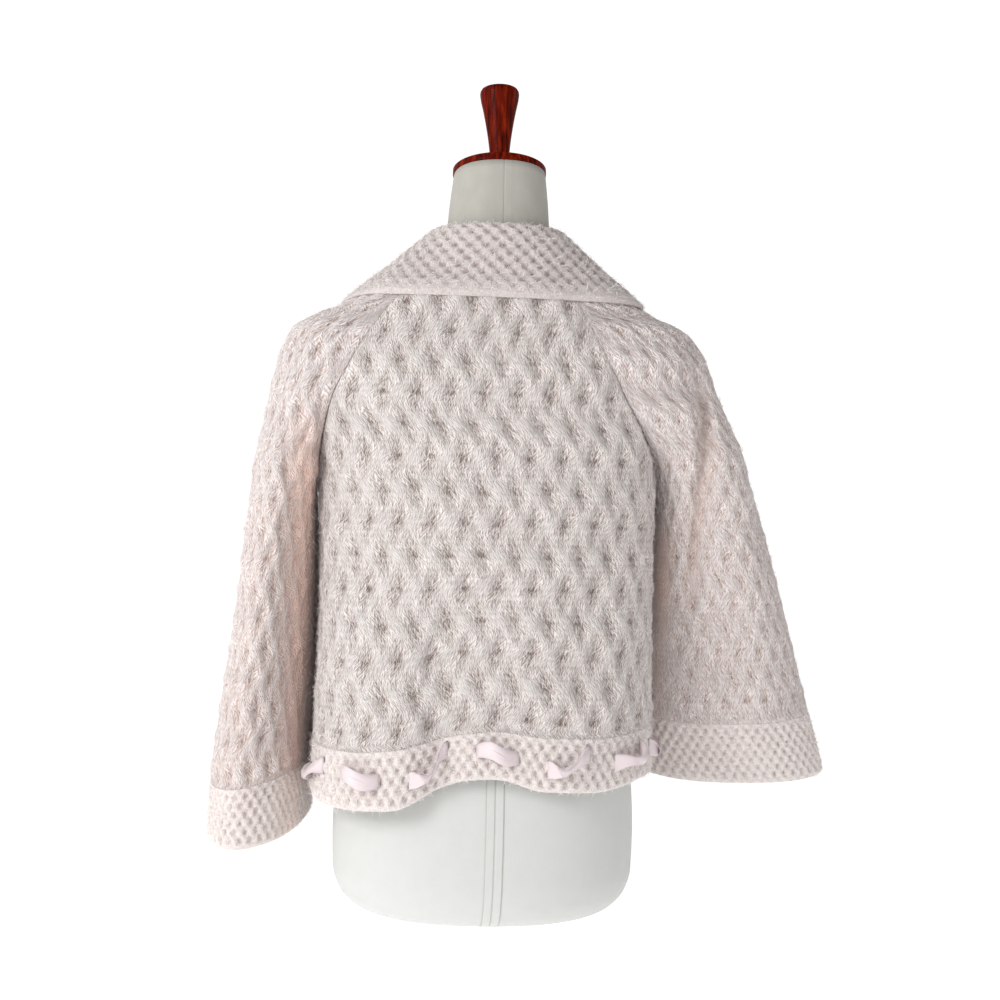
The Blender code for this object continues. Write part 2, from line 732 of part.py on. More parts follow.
def neck_edge(bearings):
    """Distance from the middle and height of the neck opening's edge at each bearing."""
    rows = [back_row(NECK_LEVEL)[0]]
    for side in SIDE_NAMES:
        rows.append(sleeve_row(side, NECK_LEVEL)[0])
        for level in np.linspace(NECK_LEVEL, FRONT_TOP, 40):
            rows.append(front_row(side, level)[0][-1:])
    points = np.concatenate(rows)
    bearing = bearing_of(points[:, 0], points[:, 1])
    order = np.argsort(bearing)
    radius = np.interp(bearings, bearing[order], np.hypot(points[:, 0], points[:, 1])[order])
    return radius, np.interp(bearings, bearing[order], points[order, 2])


def collar_rows():
    """A function from distance down the collar to a row around the neck."""
    bearings = np.linspace(-COLLAR_END, COLLAR_END, COLLAR_STEPS + 1)
    size = np.abs(bearings)
    stand = read(COLLAR, "stand", size)
    top_height = read(COLLAR, "top_height", size)
    edge_level = read(COLLAR, "edge_level", size)
    radius, slope = [], []
    for bearing, level in zip(bearings, edge_level):
        here = np.interp(bearing, *yoke_ring(level))
        above = np.interp(bearing, *yoke_ring(level + YOKE_STEP))
        below = np.interp(bearing, *yoke_ring(level - YOKE_STEP))
        radius.append(here)
        slope.append((above - below) / (2 * YOKE_STEP))
    off = (COLLAR_WALL + COLLAR_OFF) / np.hypot(1, slope)
    edge = np.stack([radius + off, edge_level - off * np.array(slope)], axis=1)
    neck_radius, neck_height = neck_edge(bearings)
    root = np.stack([neck_radius - COLLAR_WALL, neck_height + COLLAR_LIFT], axis=1)
    rise = np.stack([stand, top_height - COLLAR_RISE_END], axis=1)
    top = np.stack([stand + COLLAR_TOP_OUT, top_height], axis=1)
    turn = np.stack([stand + COLLAR_TURN_OUT, top_height - COLLAR_TURN_DOWN], axis=1)
    belly = (turn + edge) / 2 + COLLAR_BELLY * (edge - turn)[:, ::-1] * (-1, 1)
    stations = np.stack([root, rise, top, turn, belly, edge])
    places = np.array(COLLAR_PLACES)

    def row_at(down):
        at = np.clip(down, places[0], places[-1])
        n = min(int(np.searchsorted(places, at, side="right")) - 1, len(places) - 2)
        part = (at - places[n]) / (places[n + 1] - places[n])
        spot = stations[n] * (1 - part) + stations[n + 1] * part
        angle = np.radians(bearings)
        x, y = spot[:, 0] * np.sin(angle), spot[:, 0] * np.cos(angle)
        return np.stack([x, y, spot[:, 1]], axis=1), 0.0

    return row_at


def make_collar(material):
    plain_wall("collar", collar_rows(), COLLAR_PLACES, COLLAR_STEPS, COLLAR_WALL, -1, material)


# The ribbon

def hem_ring():
    """The line the ribbon is threaded along, with distances from the middle of the back."""
    level = HEM_LEVEL - (HEM_LEVEL - HEM_END) * RIBBON_DOWN
    points, middle = back_row(level)
    before, after = front_row(-1, level)[0][::-1], front_row(1, level)[0]
    distance = lengths(np.concatenate([before[:-1], points, after[1:]]))
    middle += lengths(before)[-1]
    return np.concatenate([before[:-1], points, after[1:]]), distance - middle


def make_ribbon(name, along, flip, material):
    """One stretch of ribbon that leaves the band, twists over and goes back in."""
    line, distance = hem_ring()
    part = np.linspace(0, 1, RIBBON_STATIONS + 1)
    where = along + RIBBON_SPAN * (part - 0.5)
    spot = walk(line, distance, where)
    ahead = walk(line, distance, where + 0.004) - walk(line, distance, where - 0.004)
    out = np.cross(ahead, (0, 0, 1))
    out = out / np.linalg.norm(out, axis=1, keepdims=True)
    out = out * np.sign(out[:, :2] @ spot[len(part) // 2, :2])[:, None]
    beside = 1 - RIBBON_PRESSED * math.exp(-(spot[:, 1].mean() / 0.060) ** 2)
    turn = math.pi * ease(part)
    away = RIBBON_THICKNESS / 2 + REST_GAP + RIBBON_CLEAR
    away = away + beside * (RIBBON_WIDTH / 2 * np.sin(turn) + RIBBON_ARCH * np.sin(math.pi * part))
    lean = flip * RIBBON_LEAN * np.sin(2 * math.pi * (part - 0.5)) / 2
    up = np.array((0.0, 0.0, 1.0))
    path = spot + out * away[:, None] + up * lean[:, None]
    width = up * np.cos(turn)[:, None] + flip * beside * out * np.sin(turn)[:, None]
    forward = np.gradient(path, axis=0)
    flat = np.cross(forward, width)
    flat = flat / np.linalg.norm(flat, axis=1, keepdims=True) * RIBBON_THICKNESS / 2
    half = width * RIBBON_WIDTH / 2
    corners = [path - half - flat, path + half - flat, path + half + flat, path - half + flat]
    points = np.stack(corners, axis=1).reshape(-1, 3)
    faces = []
    for station in range(RIBBON_STATIONS):
        a, b = 4 * station, 4 * station + 4
        for corner, following in ((0, 1), (1, 2), (3, 2), (0, 3)):
            one, two, three, four = a + corner, a + following, b + following, b + corner
            strip = [(one, two, three), (one, three, four)]
            faces += strip if corner < 2 and following != 3 else [face[::-1] for face in strip]
    end = 4 * RIBBON_STATIONS
    faces += [(0, 1, 2, 3), (end + 3, end + 2, end + 1, end)]
    add_mesh(name, points, faces, material)


def make_ribbons(material):
    """Every stretch that shows; where a sleeve lies on the band the ribbon stays behind it."""
    count = 0
    for n in range(1, 2 * RIBBON_EACH_WAY + 2):
        along = RIBBON_FIRST + (n - 1 - RIBBON_EACH_WAY) * RIBBON_PITCH
        if n not in RIBBON_BEHIND:
            count += 1
            make_ribbon(f"ribbon_{count:02d}", along, 1 if n % 2 else -1, material)


# The dress form

def form_ring(height, count=FORM_SIDES):
    """One section of the form, tipped forward as it nears the neck's sloping top."""
    angle = np.linspace(0, 2 * math.pi, count, endpoint=False)
    across = signed_power(np.sin(angle), 2 / FORM_SQUARE)
    deep = signed_power(np.cos(angle), 2 / FORM_SQUARE)
    reach = np.where(deep > 0, read(FORM, "back", height), read(FORM, "front", height))
    x, y = read(FORM, "half_width", height) * across, reach * deep
    tip = ease((height - NECK_SLOPE_START) / (NECK_TOP - NECK_SLOPE_START))
    return np.stack([x, y, height + y * math.tan(CAP_TILT) * tip], axis=1)


def make_form(material):
    """The torso and neck: a loft between unlike sections with a flat foot."""
    heights = FORM["height"]
    rings = [form_ring(height) for height in heights]
    points = np.concatenate(rings)
    faces = [tuple(range(FORM_SIDES))[::-1]]
    for ring in range(len(rings) - 1):
        first = ring * FORM_SIDES
        for n in range(FORM_SIDES):
            following = (n + 1) % FORM_SIDES
            below, above = first + n, first + FORM_SIDES + n
            faces.append((below, first + following, first + FORM_SIDES + following, above))
    faces.append(tuple(range(len(points) - FORM_SIDES, len(points))))
    add_mesh("form_body", points, faces, material)


def turned(name, profile, steps, lift, material):
    """A turned piece on the neck's sloping axis, its profile run from top to bottom."""
    mesh = bpy.data.meshes.new(name)
    line = [(radius, 0.0, height + lift) for radius, height in profile]
    mesh.from_pydata(line, [(n, n + 1) for n in range(len(line) - 1)], [])
    mesh.materials.append(material)
    piece = bpy.data.objects.new(name, mesh)
    PIECES.objects.link(piece)
    screw = piece.modifiers.new("turn", "SCREW")
    screw.steps = steps
    screw.render_steps = steps
    screw.use_merge_vertices = True
    screw.merge_threshold = 0.0001
    screw.use_smooth_shade = True
    piece.location = (0.0, 0.0, NECK_TOP)
    piece.rotation_euler = (CAP_TILT, 0.0, 0.0)
    return piece


def make_cap(material):
    top = CAP_EDGE + CAP_DOME
    dome = [(CAP_RADIUS * math.sin(a), CAP_EDGE + CAP_DOME * math.cos(a)) for a in CAP_ANGLES]
    foot = [(CAP_RADIUS, CAP_CHAMFER), (CAP_RADIUS - CAP_CHAMFER, 0.0), (0.0, 0.0)]
    turned("neck_cap", [(0.0, top)] + dome + foot, CAP_STEPS, REST_GAP, material)


def make_knob(material):
    rings = [(radius, part * KNOB_HEIGHT) for part, radius in zip(KNOB["part"], KNOB["radius"])]
    profile = [(0.0, KNOB_HEIGHT)] + rings[::-1] + [(0.0, 0.0)]
    lift = CAP_EDGE + CAP_DOME + 2 * REST_GAP
    turned("neck_knob", profile, KNOB_STEPS, lift, material)


def remove_everything():
    for piece in list(bpy.data.objects):
        bpy.data.objects.remove(piece, do_unlink=True)


remove_everything()
PIECES = bpy.data.collections.new("cable_knit_cardigan")
bpy.context.scene.collection.children.link(PIECES)
MOHAIR = add_material("mohair_cable_knit", (0.80, 0.71, 0.68), 0.95)
SEED_STITCH = add_material("mohair_seed_stitch", (0.80, 0.69, 0.67), 0.95)
SATIN = add_material("satin_ribbon", (0.76, 0.61, 0.62), 0.35)
LINEN = add_material("linen_cover", (0.73, 0.73, 0.70), 0.85)
WOOD = add_material("lacquered_wood", (0.20, 0.03, 0.015), 0.20)

make_form(LINEN)
make_cap(WOOD)
make_knob(WOOD)
make_back(MOHAIR)
for wearer_side in SIDE_NAMES:
    make_front(wearer_side, MOHAIR)
    make_sleeve(wearer_side, MOHAIR)
    make_cuff(wearer_side, SEED_STITCH)
make_hem(SEED_STITCH)
make_front_bands(SEED_STITCH)
make_collar(SEED_STITCH)
make_ribbons(SATIN)
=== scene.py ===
# %% [markdown]
# Cable knit cardigan on a dress form
#
# The object is a short, hand-knitted cardigan in brushed mohair, seen from behind on a small
# limbless dress form. We build it in the way a knitter works: panels first, then bands, then
# the ribbon, and last the loose fibres that a brush raises from the yarn.
#
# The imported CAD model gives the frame. Everything below is in metres, in the same frame, so a
# piece that repeats the CAD's sizes lands exactly where its solid is. Left and right are the
# wearer's: x points to the wearer's left, y to the back and z up.

# %% Load the CAD frame
import math
from functools import partial
import bpy
import numpy as np
from mathutils import Matrix, Vector


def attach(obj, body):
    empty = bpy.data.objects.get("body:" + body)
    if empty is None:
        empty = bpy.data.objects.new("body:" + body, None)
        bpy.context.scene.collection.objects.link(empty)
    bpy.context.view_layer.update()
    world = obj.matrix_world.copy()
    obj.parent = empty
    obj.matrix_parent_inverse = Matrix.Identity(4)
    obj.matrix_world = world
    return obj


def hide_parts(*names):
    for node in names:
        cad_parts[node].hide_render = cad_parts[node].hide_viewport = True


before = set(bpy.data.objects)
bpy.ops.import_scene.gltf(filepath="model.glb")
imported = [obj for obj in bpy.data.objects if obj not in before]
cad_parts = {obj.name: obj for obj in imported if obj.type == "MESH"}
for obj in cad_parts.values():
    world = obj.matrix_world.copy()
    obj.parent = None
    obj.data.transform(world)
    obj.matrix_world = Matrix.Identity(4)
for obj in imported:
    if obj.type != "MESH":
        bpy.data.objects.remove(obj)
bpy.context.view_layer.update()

PIECES = bpy.data.collections.new("cable_knit_cardigan_looks")
bpy.context.scene.collection.children.link(PIECES)
print("CAD nodes:", len(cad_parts))

# %% [markdown]
# The sizes of the garment
#
# A knitted panel has no sharp corners, so it could be sculpted by hand. Rows of points are
# surer: each table below gives how wide and how deep the garment is at some levels, and a
# smooth curve is read between its lines. They are the tables that the CAD was made from, with
# the shoulders a little fuller. A level is a height before the hem's waves are added.

# %% Levels and edges that several pieces share
SIDE_NAMES = {1: "left", -1: "right"}
NECK_LEVEL = 0.680
ARMPIT_LEVEL = 0.455
HEM_LEVEL = 0.200  # the hem band hangs from here
HEM_END = 0.150
FRONT_EDGE = 0.036  # from the middle to the edge of a front panel
CABLE_WIDTH = 0.033  # one repeat of the body's cable
print("body above its hem band:", round(NECK_LEVEL - HEM_LEVEL, 3), "m high")


def table(columns, *rows):
    """A small table whose first column is the one it is read by."""
    values = np.array(rows, dtype=float)
    return dict(zip(columns.split(), values.T))


# %% [markdown]
# Tables of the body
#
# BODY gives the oval at each level: its half width, how deep it is to the back and to the
# front, how far it is shifted aside, how many degrees the back panel turns round it and how
# square it is. RAGLAN and NECKLINE give the panels' slanting and front edges. HEM gives the
# two edges of the hem band round the body, in degrees from the middle of the back, and how
# far the cloth swings out there.

# %% The body's sections and its raglan edges
BODY = table(
    "level half_width back front shift turn square",
    (0.680, 0.074, 0.062, 0.052, 0.004, 46, 2.2),
    (0.660, 0.096, 0.078, 0.068, 0.010, 50, 2.2),
    (0.640, 0.120, 0.090, 0.082, 0.015, 53, 2.3),
    (0.615, 0.145, 0.101, 0.096, 0.019, 56, 2.4),
    (0.580, 0.160, 0.112, 0.112, 0.022, 60, 2.5),
    (0.540, 0.168, 0.120, 0.125, 0.022, 66, 2.5),
    (0.500, 0.172, 0.125, 0.133, 0.015, 76, 2.5),
    (0.475, 0.173, 0.127, 0.135, 0.009, 84, 2.5),
    (0.455, 0.174, 0.128, 0.136, 0.006, 90, 2.5),
    (0.400, 0.172, 0.130, 0.136, 0.005, 90, 2.5),
    (0.300, 0.171, 0.132, 0.134, 0.004, 90, 2.5),
    (0.200, 0.173, 0.134, 0.134, 0.004, 90, 2.5),
    (0.120, 0.175, 0.135, 0.134, 0.004, 90, 2.5),
)

RAGLAN = table(
    "level back_x back_y front_x front_y",
    (0.680, 0.057, 0.046, 0.064, -0.026),
    (0.660, 0.070, 0.064, 0.082, -0.046),
    (0.640, 0.084, 0.077, 0.098, -0.062),
    (0.615, 0.101, 0.088, 0.114, -0.078),
    (0.580, 0.122, 0.096, 0.132, -0.092),
    (0.540, 0.143, 0.092, 0.150, -0.090),
    (0.500, 0.161, 0.072, 0.164, -0.068),
    (0.475, 0.170, 0.040, 0.171, -0.038),
    (0.455, 0.174, 0.000, 0.174, 0.000),
)

NECKLINE = table(
    "level x",
    (0.680, 0.050),
    (0.660, 0.048),
    (0.640, 0.044),
    (0.620, 0.039),
    (0.605, FRONT_EDGE),
    (0.100, FRONT_EDGE),
)

HEM = table(
    "bearing lower upper swell",
    (-180, 0.150, 0.200, 0.000),
    (-135, 0.144, 0.195, 0.006),
    (-90, 0.158, 0.206, 0.000),
    (-60, 0.154, 0.204, 0.004),
    (-36, 0.146, 0.199, 0.011),
    (-18, 0.147, 0.200, 0.006),
    (0, 0.158, 0.205, -0.002),
    (14, 0.156, 0.202, -0.004),
    (25, 0.147, 0.196, -0.011),
    (38, 0.126, 0.185, 0.010),
    (52, 0.124, 0.181, 0.015),
    (75, 0.128, 0.182, 0.005),
    (90, 0.132, 0.184, 0.000),
    (135, 0.140, 0.191, 0.006),
    (180, 0.150, 0.200, 0.000),
)
print("the body's tables have", len(BODY["level"]), "and", len(HEM["bearing"]), "lines")

# %% [markdown]
# Tables of the sleeves
#
# The wearer's left sleeve hangs close to the body and is turned a little, the right one
# swings out, so each has a table of its own. Outer and inner are its two sides, and wrap says
# how many degrees it reaches round from the outer line to each edge. Rise lifts the inner
# side, sag drops the front and back, and tuck pushes the inner side forward. Each long fold
# runs on one face from its top to its bottom, and a negative depth makes it a ridge.

# %% The two sleeves and their long folds
SLEEVES = {
    1: table(
        "level outer inner middle_y depth wrap square rise sag tuck",
        (0.680, 0.076, 0.010, 0.006, 0.052, 74, 2.2, 0, 0, 0),
        (0.655, 0.110, 0.000, 0.004, 0.070, 78, 2.2, 0, 0, 0),
        (0.633, 0.146, 0.000, 0.002, 0.082, 80, 2.2, 0, 0, 0),
        (0.619, 0.174, 0.005, 0.000, 0.090, 82, 2.3, 0, 0, 0),
        (0.609, 0.197, 0.020, 0.000, 0.096, 84, 2.4, 0, 0, 0),
        (0.597, 0.211, 0.030, 0.000, 0.099, 86, 2.4, 0, 0, 0),
        (0.578, 0.220, 0.045, 0.000, 0.101, 90, 2.4, 0, 0, 0),
        (0.545, 0.228, 0.080, 0.000, 0.098, 98, 2.4, 0, 0, 0),
        (0.515, 0.234, 0.125, 0.000, 0.094, 114, 2.4, 0, 0, 0),
        (0.485, 0.239, 0.164, 0.000, 0.091, 144, 2.4, 0, 0, 0),
        (0.455, 0.243, 0.1800, -0.001, 0.089, 180, 2.4, 0, 0, -0.002),
        (0.435, 0.245, 0.1803, -0.001, 0.089, 180, 2.4, 0.002, 0, -0.020),
        (0.400, 0.249, 0.1780, -0.002, 0.088, 180, 2.4, 0.006, 0, -0.044),
        (0.300, 0.261, 0.1752, -0.004, 0.088, 180, 2.4, 0.012, 0, -0.063),
        (0.200, 0.274, 0.1760, -0.008, 0.089, 180, 2.4, 0.020, 0.003, -0.068),
        (0.135, 0.281, 0.1772, -0.010, 0.090, 180, 2.4, 0.026, 0.006, -0.070),
        (0.070, 0.284, 0.1774, -0.012, 0.090, 180, 2.4, 0.016, 0.010, -0.070),
    ),
    -1: table(
        "level outer inner middle_y depth wrap square rise sag tuck",
        (0.680, 0.076, 0.010, 0.006, 0.052, 74, 2.2, 0, 0, 0),
        (0.655, 0.109, 0.000, 0.004, 0.070, 78, 2.2, 0, 0, 0),
        (0.633, 0.144, 0.000, 0.002, 0.082, 80, 2.2, 0, 0, 0),
        (0.619, 0.170, 0.005, 0.000, 0.090, 82, 2.3, 0, 0, 0),
        (0.609, 0.193, 0.020, 0.000, 0.096, 84, 2.4, 0, 0, 0),
        (0.597, 0.207, 0.030, 0.000, 0.099, 86, 2.4, 0, 0, 0),
        (0.578, 0.218, 0.045, 0.000, 0.101, 90, 2.4, 0, 0, 0),
        (0.545, 0.230, 0.080, 0.000, 0.099, 98, 2.4, 0, 0, 0),
        (0.515, 0.245, 0.115, 0.000, 0.096, 114, 2.4, 0, 0, 0),
        (0.485, 0.260, 0.150, -0.003, 0.093, 144, 2.4, 0, 0, 0),
        (0.455, 0.271, 0.1690, -0.008, 0.090, 180, 2.4, 0, 0, 0),
        (0.435, 0.278, 0.1720, -0.011, 0.088, 180, 2.4, 0.001, 0, 0),
        (0.400, 0.290, 0.1730, -0.018, 0.084, 180, 2.4, 0.002, 0, 0),
        (0.300, 0.326, 0.1745, -0.042, 0.073, 180, 2.4, 0.000, 0.002, 0),
        (0.220, 0.354, 0.1735, -0.062, 0.067, 180, 2.5, -0.006, 0.008, 0),
        (0.146, 0.3795, 0.1730, -0.077, 0.064, 180, 2.6, -0.001, 0.010, 0),
    ),
}

SLEEVE_FOLDS = {
    1: table(
        "face top bottom x_top x_bottom width depth",
        (1, 0.530, 0.150, 0.203, 0.208, 0.010, 0.009),
        (1, 0.420, 0.080, 0.236, 0.258, 0.012, -0.004),
        (-1, 0.540, 0.200, 0.210, 0.216, 0.014, 0.009),
    ),
    -1: table(
        "face top bottom x_top x_bottom width depth",
        (1, 0.580, 0.290, 0.206, 0.208, 0.0085, 0.017),
        (1, 0.400, 0.160, 0.262, 0.300, 0.022, -0.006),
        (-1, 0.560, 0.240, 0.212, 0.230, 0.014, 0.010),
    ),
}

print("long folds in each sleeve:", [len(folds["face"]) for folds in SLEEVE_FOLDS.values()])

# %% [markdown]
# Reading the tables
#
# Straight steps from line to line would show as kinks in the cloth, and a loose curve would
# bulge between the lines. So a cubic is used that never goes past the values it joins.


# %% Read a table, measure a line and step along it
def read(data, column, where):
    """A column at one place or many, by a cubic that never overshoots its rows."""
    key = data[next(iter(data))]
    value = data[column]
    if key[0] > key[-1]:
        key, value = key[::-1], value[::-1]
    step = np.diff(key)
    rate = np.diff(value) / step
    slope = np.zeros(len(key))
    slope[0], slope[-1] = rate[0], rate[-1]
    product = rate[:-1] * rate[1:]
    total = rate[:-1] + rate[1:]
    steady = product > 0
    slope[1:-1][steady] = 2 * product[steady] / total[steady]
    at = np.clip(where, key[0], key[-1])
    row = np.clip(np.searchsorted(key, at, side="right") - 1, 0, len(step) - 1)
    t = (at - key[row]) / step[row]
    start = value[row] * (1 + 2 * t) + slope[row] * step[row] * t
    end = value[row + 1] * (3 - 2 * t) - slope[row + 1] * step[row] * (1 - t)
    return start * (1 - t) ** 2 + end * t ** 2


def ease(value):
    """0 below 0, 1 above 1 and a smooth step between."""
    t = np.clip(value, 0.0, 1.0)
    return t * t * (3 - 2 * t)


def signed_power(value, power):
    """A power of a number's size that keeps its sign, for ovals that are a little square."""
    return np.sign(value) * np.abs(value) ** power


def lengths(points):
    """Distance along a line of points, from its first."""
    steps = np.linalg.norm(np.diff(points, axis=0), axis=1)
    return np.concatenate(([0.0], np.cumsum(steps)))


def walk(points, along, where):
    """Points at given distances along a line of points."""
    return np.stack([np.interp(where, along, points[:, axis]) for axis in range(3)], axis=1)


print("back half width at the armpit:", read(BODY, "half_width", ARMPIT_LEVEL))

# %% [markdown]
# Rows of the body
#
# A raglan body is three panels: one back and two fronts. Each row runs across a panel along
# a soft oval, from edge to edge. Under the armpit the edges are side seams, above it they
# are the slanting raglan seams. The hem swings out and down in waves. A cloth simulation
# would make waves of its own, so the rows are moved by the HEM table, where the photograph
# has them.


# %% Edges and half rows of the body's panels
HALF_ROW_POINTS = 49


def seam_point(side, face, level):
    """The edge of a body panel: the raglan line, and below the armpit the side seam."""
    shift = read(BODY, "shift", level)
    if level <= ARMPIT_LEVEL:
        return side * read(BODY, "half_width", level) + shift, 0.0
    return side * read(RAGLAN, face + "_x", level) + shift, read(RAGLAN, face + "_y", level)


def half_row(side, face, level):
    """A row of a body panel from its middle to one edge, before the waves of the hem."""
    middle_x = read(BODY, "shift", level) if face == "back" else 0.0
    depth = read(BODY, face, level) * (1 if face == "back" else -1)
    edge_x, edge_y = seam_point(side, face, level)
    turn = math.radians(read(BODY, "turn", level))
    power = 2 / read(BODY, "square", level)
    angle = np.linspace(0.0, turn, HALF_ROW_POINTS)
    across = (np.sin(angle) / math.sin(turn)) ** power
    low = max(math.cos(turn), 0.0) ** power
    deep = (np.clip(np.cos(angle), 0.0, 1.0) ** power - low) / (1 - low)
    x = middle_x + (edge_x - middle_x) * across
    y = edge_y + (depth - edge_y) * deep
    return np.stack([x, y, np.full(HALF_ROW_POINTS, level)], axis=1)


print("half a row has", HALF_ROW_POINTS, "points")


# %% The waves of the hem
WAVE_START = 0.400


def bearing_of(x, y):
    """Degrees around the body from the middle of the back, + towards the wearer's left."""
    return np.degrees(np.arctan2(x, y))


def add_waves(points, level):
    """Swings a row out and down with the waves of the hem, to the band's lower edge."""
    bearing = bearing_of(points[:, 0], points[:, 1])
    upper, lower = read(HEM, "upper", bearing), read(HEM, "lower", bearing)
    fade = ease((WAVE_START - level) / (WAVE_START - HEM_LEVEL))
    stretch = 1 + read(HEM, "swell", bearing) * fade / np.hypot(points[:, 0], points[:, 1])
    height = level + (upper - HEM_LEVEL) * fade
    if level < HEM_LEVEL:
        height = upper + (lower - upper) * (HEM_LEVEL - level) / (HEM_LEVEL - HEM_END)
    return np.stack([points[:, 0] * stretch, points[:, 1] * stretch, height], axis=1)


print("the waves begin at level", WAVE_START)


# %% Rows of the back, the fronts and the bands down the front
FRONT_BAND_EDGE = 0.010
SEAM_GAP = 0.0003


def back_row(level):
    """The back from the wearer's right edge to the left, and where its middle lies."""
    right = half_row(-1, "back", level)[::-1]
    left = half_row(1, "back", level)[1:]
    points = add_waves(np.concatenate([right, left]), level)
    return points, lengths(points)[len(right) - 1]


def between(points, side, low, high):
    """The stretch of a row that lies between two distances from the middle."""
    x = side * points[:, 0]
    along = lengths(points)
    order = np.argsort(x)
    first, last = np.interp((low, high), x[order], along[order])
    inside = along[(along > first) & (along < last)]
    return walk(points, along, np.concatenate(([first], inside, [last])))


def front_row(side, level):
    """One front from the side seam or raglan to the edge beside the middle."""
    points = half_row(side, "front", level)
    reach = side * points[-1, 0]
    points = between(points, side, float(read(NECKLINE, "x", level)), reach)[::-1]
    points = add_waves(points, level)
    return points, lengths(points)[-1] + CABLE_WIDTH / 4  # the middle is a quarter repeat away


def front_band_row(side, level):
    """The narrow band down one front edge, from the panel's edge towards the middle."""
    points = half_row(side, "front", level)
    points = between(points, side, FRONT_BAND_EDGE, FRONT_EDGE - SEAM_GAP)[::-1]
    points = add_waves(points, level)
    return points, 0.0


print("a row of the back has", len(back_row(ARMPIT_LEVEL)[0]), "points")


# %% The line that a panel hangs down
READ_PAST = 0.01  # the line is read a little past its end


def hanging_line(data, column, bottom, steps):
    """Levels against distance down a panel, and its length from the neck to a level."""
    level = np.linspace(NECK_LEVEL, bottom - READ_PAST, steps)
    along = lengths(np.stack([read(data, column, level), level, 0 * level], axis=1))
    return level, along, float(np.interp(-bottom, -level, along))


BODY_LINES = {face: hanging_line(BODY, face, HEM_LEVEL, 200) for face in ("back", "front")}
print("back panel is", round(BODY_LINES["back"][2], 3), "m long")

# %% [markdown]
# Rows of the sleeves
#
# A bell sleeve is one panel, sewn to a tube under the arm. Above the armpit a row runs over
# the shoulder from raglan seam to raglan seam, and its ends are bent to meet the body's
# edges. Below it the row closes. The long folds could be carved into the finished sleeve,
# but then they would cut through its stitches. They are pressed into the rows here, as soft
# troughs, so that everything that is knitted on top of them follows.


# %% Rows of the sleeves
CUFF_TOP = {1: 0.135, -1: 0.212}
SLEEVE_ROW_POINTS = 97
EDGE_BEND = 0.25  # the row bends to its seam from this share of the way to it
UNDERARM_DEPTH = 0.030  # below the armpit the bend fades over this height


def sleeve_row(side, level):
    """A sleeve's row from its back edge, over the outer side, to its front edge."""
    data = SLEEVES[side]
    outer, inner = read(data, "outer", level), read(data, "inner", level)
    middle_y, depth = read(data, "middle_y", level), read(data, "depth", level)
    wrap = math.radians(read(data, "wrap", level))
    power = 2 / read(data, "square", level)
    angle = np.linspace(wrap, -wrap, SLEEVE_ROW_POINTS)
    across = signed_power(np.cos(angle), power)
    deep = signed_power(np.sin(angle), power)
    x = (outer + inner) / 2 + (outer - inner) / 2 * across
    y = middle_y + depth * deep
    bend = ease((level - ARMPIT_LEVEL + UNDERARM_DEPTH) / UNDERARM_DEPTH)
    for face, end, toward in (("back", 0, 1), ("front", -1, -1)):
        edge_x, edge_y = seam_point(side, face, max(level, ARMPIT_LEVEL))
        weight = ease((toward * angle / wrap - EDGE_BEND) / (1 - EDGE_BEND))
        y = y + (edge_y - y[end]) * weight * bend
        if level > ARMPIT_LEVEL:
            x = x + (side * edge_x - x[end]) * weight
    inward = (outer - x) / (outer - inner)
    height = level + read(data, "rise", level) * inward
    height = height - read(data, "sag", level) * ((y - middle_y) / depth) ** 2
    y = fold_sleeve(side, level, x, y, middle_y, depth)
    y = y + read(data, "tuck", level) * inward ** 2
    points = np.stack([side * x, y, height], axis=1)
    return points, lengths(points)[SLEEVE_ROW_POINTS // 2]


print("a sleeve's row has", SLEEVE_ROW_POINTS, "points")


# %% The long folds of the sleeves
FOLD_ENDS = (0.2, 0.3)  # the shares of a fold over which its top and its bottom run out
FOLD_FACE = (0.35, 0.4)  # where a fold starts on its face, and over which share it deepens


def fold_strength(part):
    """How deep a fold is a part of the way down it: it runs out at both ends."""
    return ease(part / FOLD_ENDS[0]) * ease((1 - part) / FOLD_ENDS[1])


def fold_sleeve(side, level, x, y, middle_y, depth):
    """Presses the sleeve's long folds into one row, one after the other."""
    for face, top, bottom, x_top, x_bottom, width, deep in zip(*SLEEVE_FOLDS[side].values()):
        part = (top - level) / (top - bottom)
        line = x_top + (x_bottom - x_top) * part
        on_face = ease((face * (y - middle_y) / depth - FOLD_FACE[0]) / FOLD_FACE[1])
        y = y - face * deep * fold_strength(part) * on_face * np.exp(-((x - line) / width) ** 2)
    return y


SLEEVE_LINES = {
    side: hanging_line(SLEEVES[side], "outer", CUFF_TOP[side], 400) for side in SIDE_NAMES
}
print("sleeves are", [round(line[2], 3) for line in SLEEVE_LINES.values()], "m long")

# %% [markdown]
# The collar's rows
#
# The collar is a wide band knitted on at the neck. It stands up a little, folds over and
# lies on the shoulders. It could be draped by a simulation, but it has to touch both the
# neck opening and the yoke without cutting in. So the code looks up where those lie at each
# bearing round the neck, and lays the collar's path through points set off from them.


# %% Where the neck opening and the yoke lie
FRONT_TOP = 0.603
NECK_EDGE_STEPS = 40


def around(rows):
    """The points of some rows in order of their bearing, and the bearings."""
    points = np.concatenate(rows)
    bearing = bearing_of(points[:, 0], points[:, 1])
    order = np.argsort(bearing)
    return points[order], bearing[order]


def yoke_radius(bearing, level):
    """Distance from the middle to the shoulders at one bearing and level."""
    rows = [back_row(level)[0]]
    for side in SIDE_NAMES:
        rows += [front_row(side, level)[0], sleeve_row(side, level)[0]]
    points, bearings = around(rows)
    return np.interp(bearing, bearings, np.hypot(points[:, 0], points[:, 1]))


